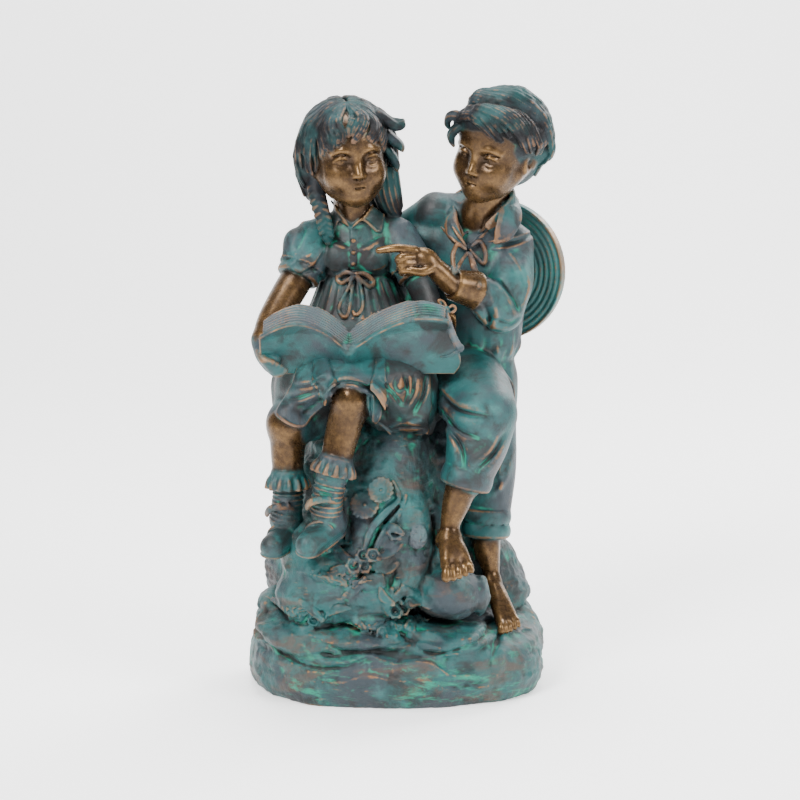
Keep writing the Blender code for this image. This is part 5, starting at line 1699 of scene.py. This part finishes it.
def patina_material():
    """Verdigris over dark bronze: pale green on cloth and rock, brushed gold on the skin, with painted
    shade in the creases and on the cloth given the shade finish.
    """
    material = bpy.data.materials.new("verdigris_bronze")
    nodes = Nodes(material)
    wear, hollow = nodes.attribute("wear"), nodes.attribute("hollow")
    skin, hair, rock = nodes.attribute("skin"), nodes.attribute("hair"), nodes.attribute("rock")
    bloom, painted_shade, pages = nodes.attribute("bloom"), nodes.attribute("painted_shade"), nodes.attribute("pages")
    straw = nodes.attribute("straw")
    clouds, patches = nodes.noise(**CLOUDS), nodes.noise(**PATCHES)
    flecks, grain = nodes.noise(**FLECKS), nodes.noise(**GRAIN)

    # Cloth, rock and straw
    cloth = nodes.mix(nodes.ramp(clouds, 0.40, 0.60), SLATE, TEAL)
    cloth = nodes.mix(nodes.times(nodes.ramp(patches, 0.50, 0.74), 0.6), cloth, PALE_TEAL)
    dark = nodes.times(nodes.ramp(nodes.noise(**DARK_PATCHES), 0.47, 0.64), 0.8)
    cloth = nodes.mix(dark, cloth, CHARCOAL)
    # Painted shade: cloth with the shade finish is darkened towards charcoal
    shade = nodes.times(painted_shade, nodes.blend(nodes.ramp(patches, 0.42, 0.60), 0.86, 0.55))
    cloth = nodes.mix(shade, cloth, CHARCOAL)
    earth = nodes.times(nodes.ramp(nodes.noise(**EARTH_PATCHES), 0.50, 0.66), rock)
    cloth = nodes.mix(nodes.times(earth, 0.7), cloth, EARTH)
    low = nodes.times(nodes.ramp(nodes.height(), BASE_HIGH, BASE_LOW), rock)
    bright = nodes.times(nodes.ramp(nodes.noise(**BRIGHT_PATCHES), 0.52, 0.64), low)
    cloth = nodes.mix(nodes.times(bright, 0.85), cloth, VERDIGRIS)
    green = nodes.ramp(nodes.noise(**GREEN_PATCHES), 0.50, 0.66)
    green = nodes.times(green, nodes.ramp(hollow, -0.04, -0.40))
    cloth = nodes.mix(nodes.times(green, 0.85), cloth, VERDIGRIS)
    # Painted shade: the deeper creases of cloth, rock and straw darkened to near black, as ambient
    # occlusion
    cloth = nodes.mix(nodes.times(nodes.ramp(hollow, -0.25, -0.95), 0.9), cloth, CREASE_SHADE)
    paper = nodes.times(nodes.times(pages, 0.40), nodes.ramp(hollow, -0.5, 0.1))
    cloth = nodes.mix(paper, cloth, PEARL)
    cloth = nodes.mix(nodes.times(straw, 0.45), cloth, PALE_TEAL)

    # Hair
    locks = nodes.mix(nodes.times(nodes.ramp(patches, 0.42, 0.66), 0.7), SOOT, SLATE)
    locks = nodes.mix(nodes.times(nodes.ramp(clouds, 0.44, 0.62), 0.55), locks, TEAL)
    # Painted shade: the grooves between the locks darkened to near black
    locks = nodes.mix(nodes.ramp(hollow, -0.05, -0.6), locks, CREASE_SHADE)

    # Copper where the patina is rubbed off
    worn = nodes.math("ADD", wear, nodes.times(nodes.math("SUBTRACT", flecks, 0.5), 1.2))
    rub = nodes.times(nodes.ramp(worn, 0.62, 1.25), nodes.ramp(patches, 0.38, 0.62))
    streaks = nodes.ramp(nodes.noise(**STREAKS), 0.60, 0.70)
    streaks = nodes.times(nodes.times(streaks, rock), nodes.ramp(patches, 0.46, 0.60))
    rub = nodes.math("MAXIMUM", rub, nodes.times(streaks, 0.45))
    spared = nodes.math("ADD", nodes.times(hair, 0.45), nodes.times(bloom, 0.45))
    rub = nodes.times(rub, nodes.math("SUBTRACT", 1.0, spared))
    body = nodes.mix(hair, cloth, locks)
    body = nodes.mix(nodes.times(rub, 0.62), body, COPPER)

    # Bare skin
    uneven = nodes.times(nodes.math("SUBTRACT", nodes.noise(**SHINE), 0.5), 0.9)
    shine = nodes.math("ADD", nodes.times(nodes.math("MINIMUM", hollow, 0.5), 0.45), uneven)
    flesh = nodes.mix(nodes.ramp(shine, -0.15, 1.05), UMBER, GOLD)
    # Painted shade: the skin's hollows darkened to near black, as ambient occlusion
    flesh = nodes.mix(nodes.times(nodes.ramp(hollow, -0.25, -1.1), 0.85), flesh, CREASE_SHADE)
    color = nodes.mix(skin, body, flesh)
    nodes.link(color, nodes.shader.inputs["Base Color"])

    metal = nodes.blend(skin, nodes.times(rub, 0.85), 0.62)
    nodes.link(metal, nodes.shader.inputs["Metallic"])
    rough = nodes.blend(skin, nodes.blend(flecks, 0.38, 0.58), nodes.blend(flecks, 0.20, 0.36))
    nodes.link(rough, nodes.shader.inputs["Roughness"])
    nodes.link(nodes.blend(hair, 0.30, 0.14), nodes.shader.inputs["Specular IOR Level"])
    bump = nodes.tree.nodes.new("ShaderNodeBump")
    bump.inputs["Strength"].default_value = 0.5
    bump.inputs["Distance"].default_value = 0.0005
    relief = nodes.math("ADD", flecks, nodes.times(nodes.math("ADD", grain, nodes.noise(**BRUSH)), 0.5))
    depth = nodes.blend(skin, nodes.blend(rock, 1.0, 2.4), 0.3)
    nodes.link(nodes.times(relief, depth), bump.inputs["Height"])
    nodes.link(bump.outputs["Normal"], nodes.shader.inputs["Normal"])
    return material


# Stage, in metres

FLOOR_REACH, FLOOR_BACK, WALL_HEIGHT = 2.5, 1.6, 2.4
FLOOR_BEND, BEND_STEPS = 0.5, 12
PAPER_WHITE, PAPER_GLOW, WORLD_LIGHT = 0.94, 0.55, 0.48
LIGHTS = (
    # name, place, size, watts
    ("key", (-0.9, -1.3, 1.4), 0.7, 66),
    ("fill", (1.3, -1.0, 0.9), 0.7, 32),
    ("top", (0.0, 0.2, 1.7), 0.9, 40),
    ("rim", (0.9, 1.0, 1.0), 0.6, 24),
)


def stage():
    """A pale floor, soft studio light and the camera at the photograph's angle."""
    mesh = bpy.data.meshes.new("floor")
    curve = [(-FLOOR_REACH, 0.0)]
    for step in range(BEND_STEPS + 1):
        a = math.pi / 2 * step / BEND_STEPS
        curve.append((FLOOR_BACK - FLOOR_BEND + FLOOR_BEND * math.sin(a),
                      FLOOR_BEND - FLOOR_BEND * math.cos(a)))
    curve.append((FLOOR_BACK, WALL_HEIGHT))
    points = [(side * FLOOR_REACH, y, z) for y, z in curve for side in (-1, 1)]
    faces = [(2 * i, 2 * i + 1, 2 * i + 3, 2 * i + 2) for i in range(len(curve) - 1)]
    mesh.from_pydata(points, [], faces)
    mesh.shade_smooth()
    floor = bpy.data.objects.new("floor", mesh)
    bpy.context.collection.objects.link(floor)
    paper = bpy.data.materials.new("pale_floor")
    paper.use_nodes = True
    shader = paper.node_tree.nodes["Principled BSDF"]
    shader.inputs["Base Color"].default_value = (PAPER_WHITE, PAPER_WHITE, PAPER_WHITE, 1)
    shader.inputs["Roughness"].default_value = 0.85
    shader.inputs["Emission Color"].default_value = (1, 1, 1, 1)
    shader.inputs["Emission Strength"].default_value = PAPER_GLOW
    mesh.materials.append(paper)
    for name, place, size, power in LIGHTS:
        light = bpy.data.objects.new(name, bpy.data.lights.new(name, "AREA"))
        light.data.energy = power
        light.data.size = size
        light.location = place
        light.rotation_euler = (VIEW_AIM - Vector(place)).to_track_quat("-Z", "Y").to_euler()
        bpy.context.collection.objects.link(light)
    world = bpy.data.worlds.new("studio")
    world.use_nodes = True
    sky = world.node_tree.nodes["Background"]
    sky.inputs["Color"].default_value = (1, 1, 1, 1)
    sky.inputs["Strength"].default_value = WORLD_LIGHT
    bpy.context.scene.world = world
    camera = bpy.data.objects.new("camera", bpy.data.cameras.new("camera"))
    bpy.context.collection.objects.link(camera)
    ahead = Vector((0, math.cos(VIEW_ELEVATION), -math.sin(VIEW_ELEVATION)))
    camera.location = VIEW_AIM - ahead * VIEW_DISTANCE
    camera.rotation_euler = ahead.to_track_quat("-Z", "Y").to_euler()
    camera.data.sensor_width = SENSOR_WIDTH
    camera.data.lens = VIEW_LENS
    bpy.context.scene.camera = camera


stage()
patina = patina_material()
for build in (rock_and_base, girl_figure, boy_figure, girl_head, boy_head, open_book, straw_hat):
    piece = build()
    piece.data.materials.append(patina)
    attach(piece, "root")
    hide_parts("statue")
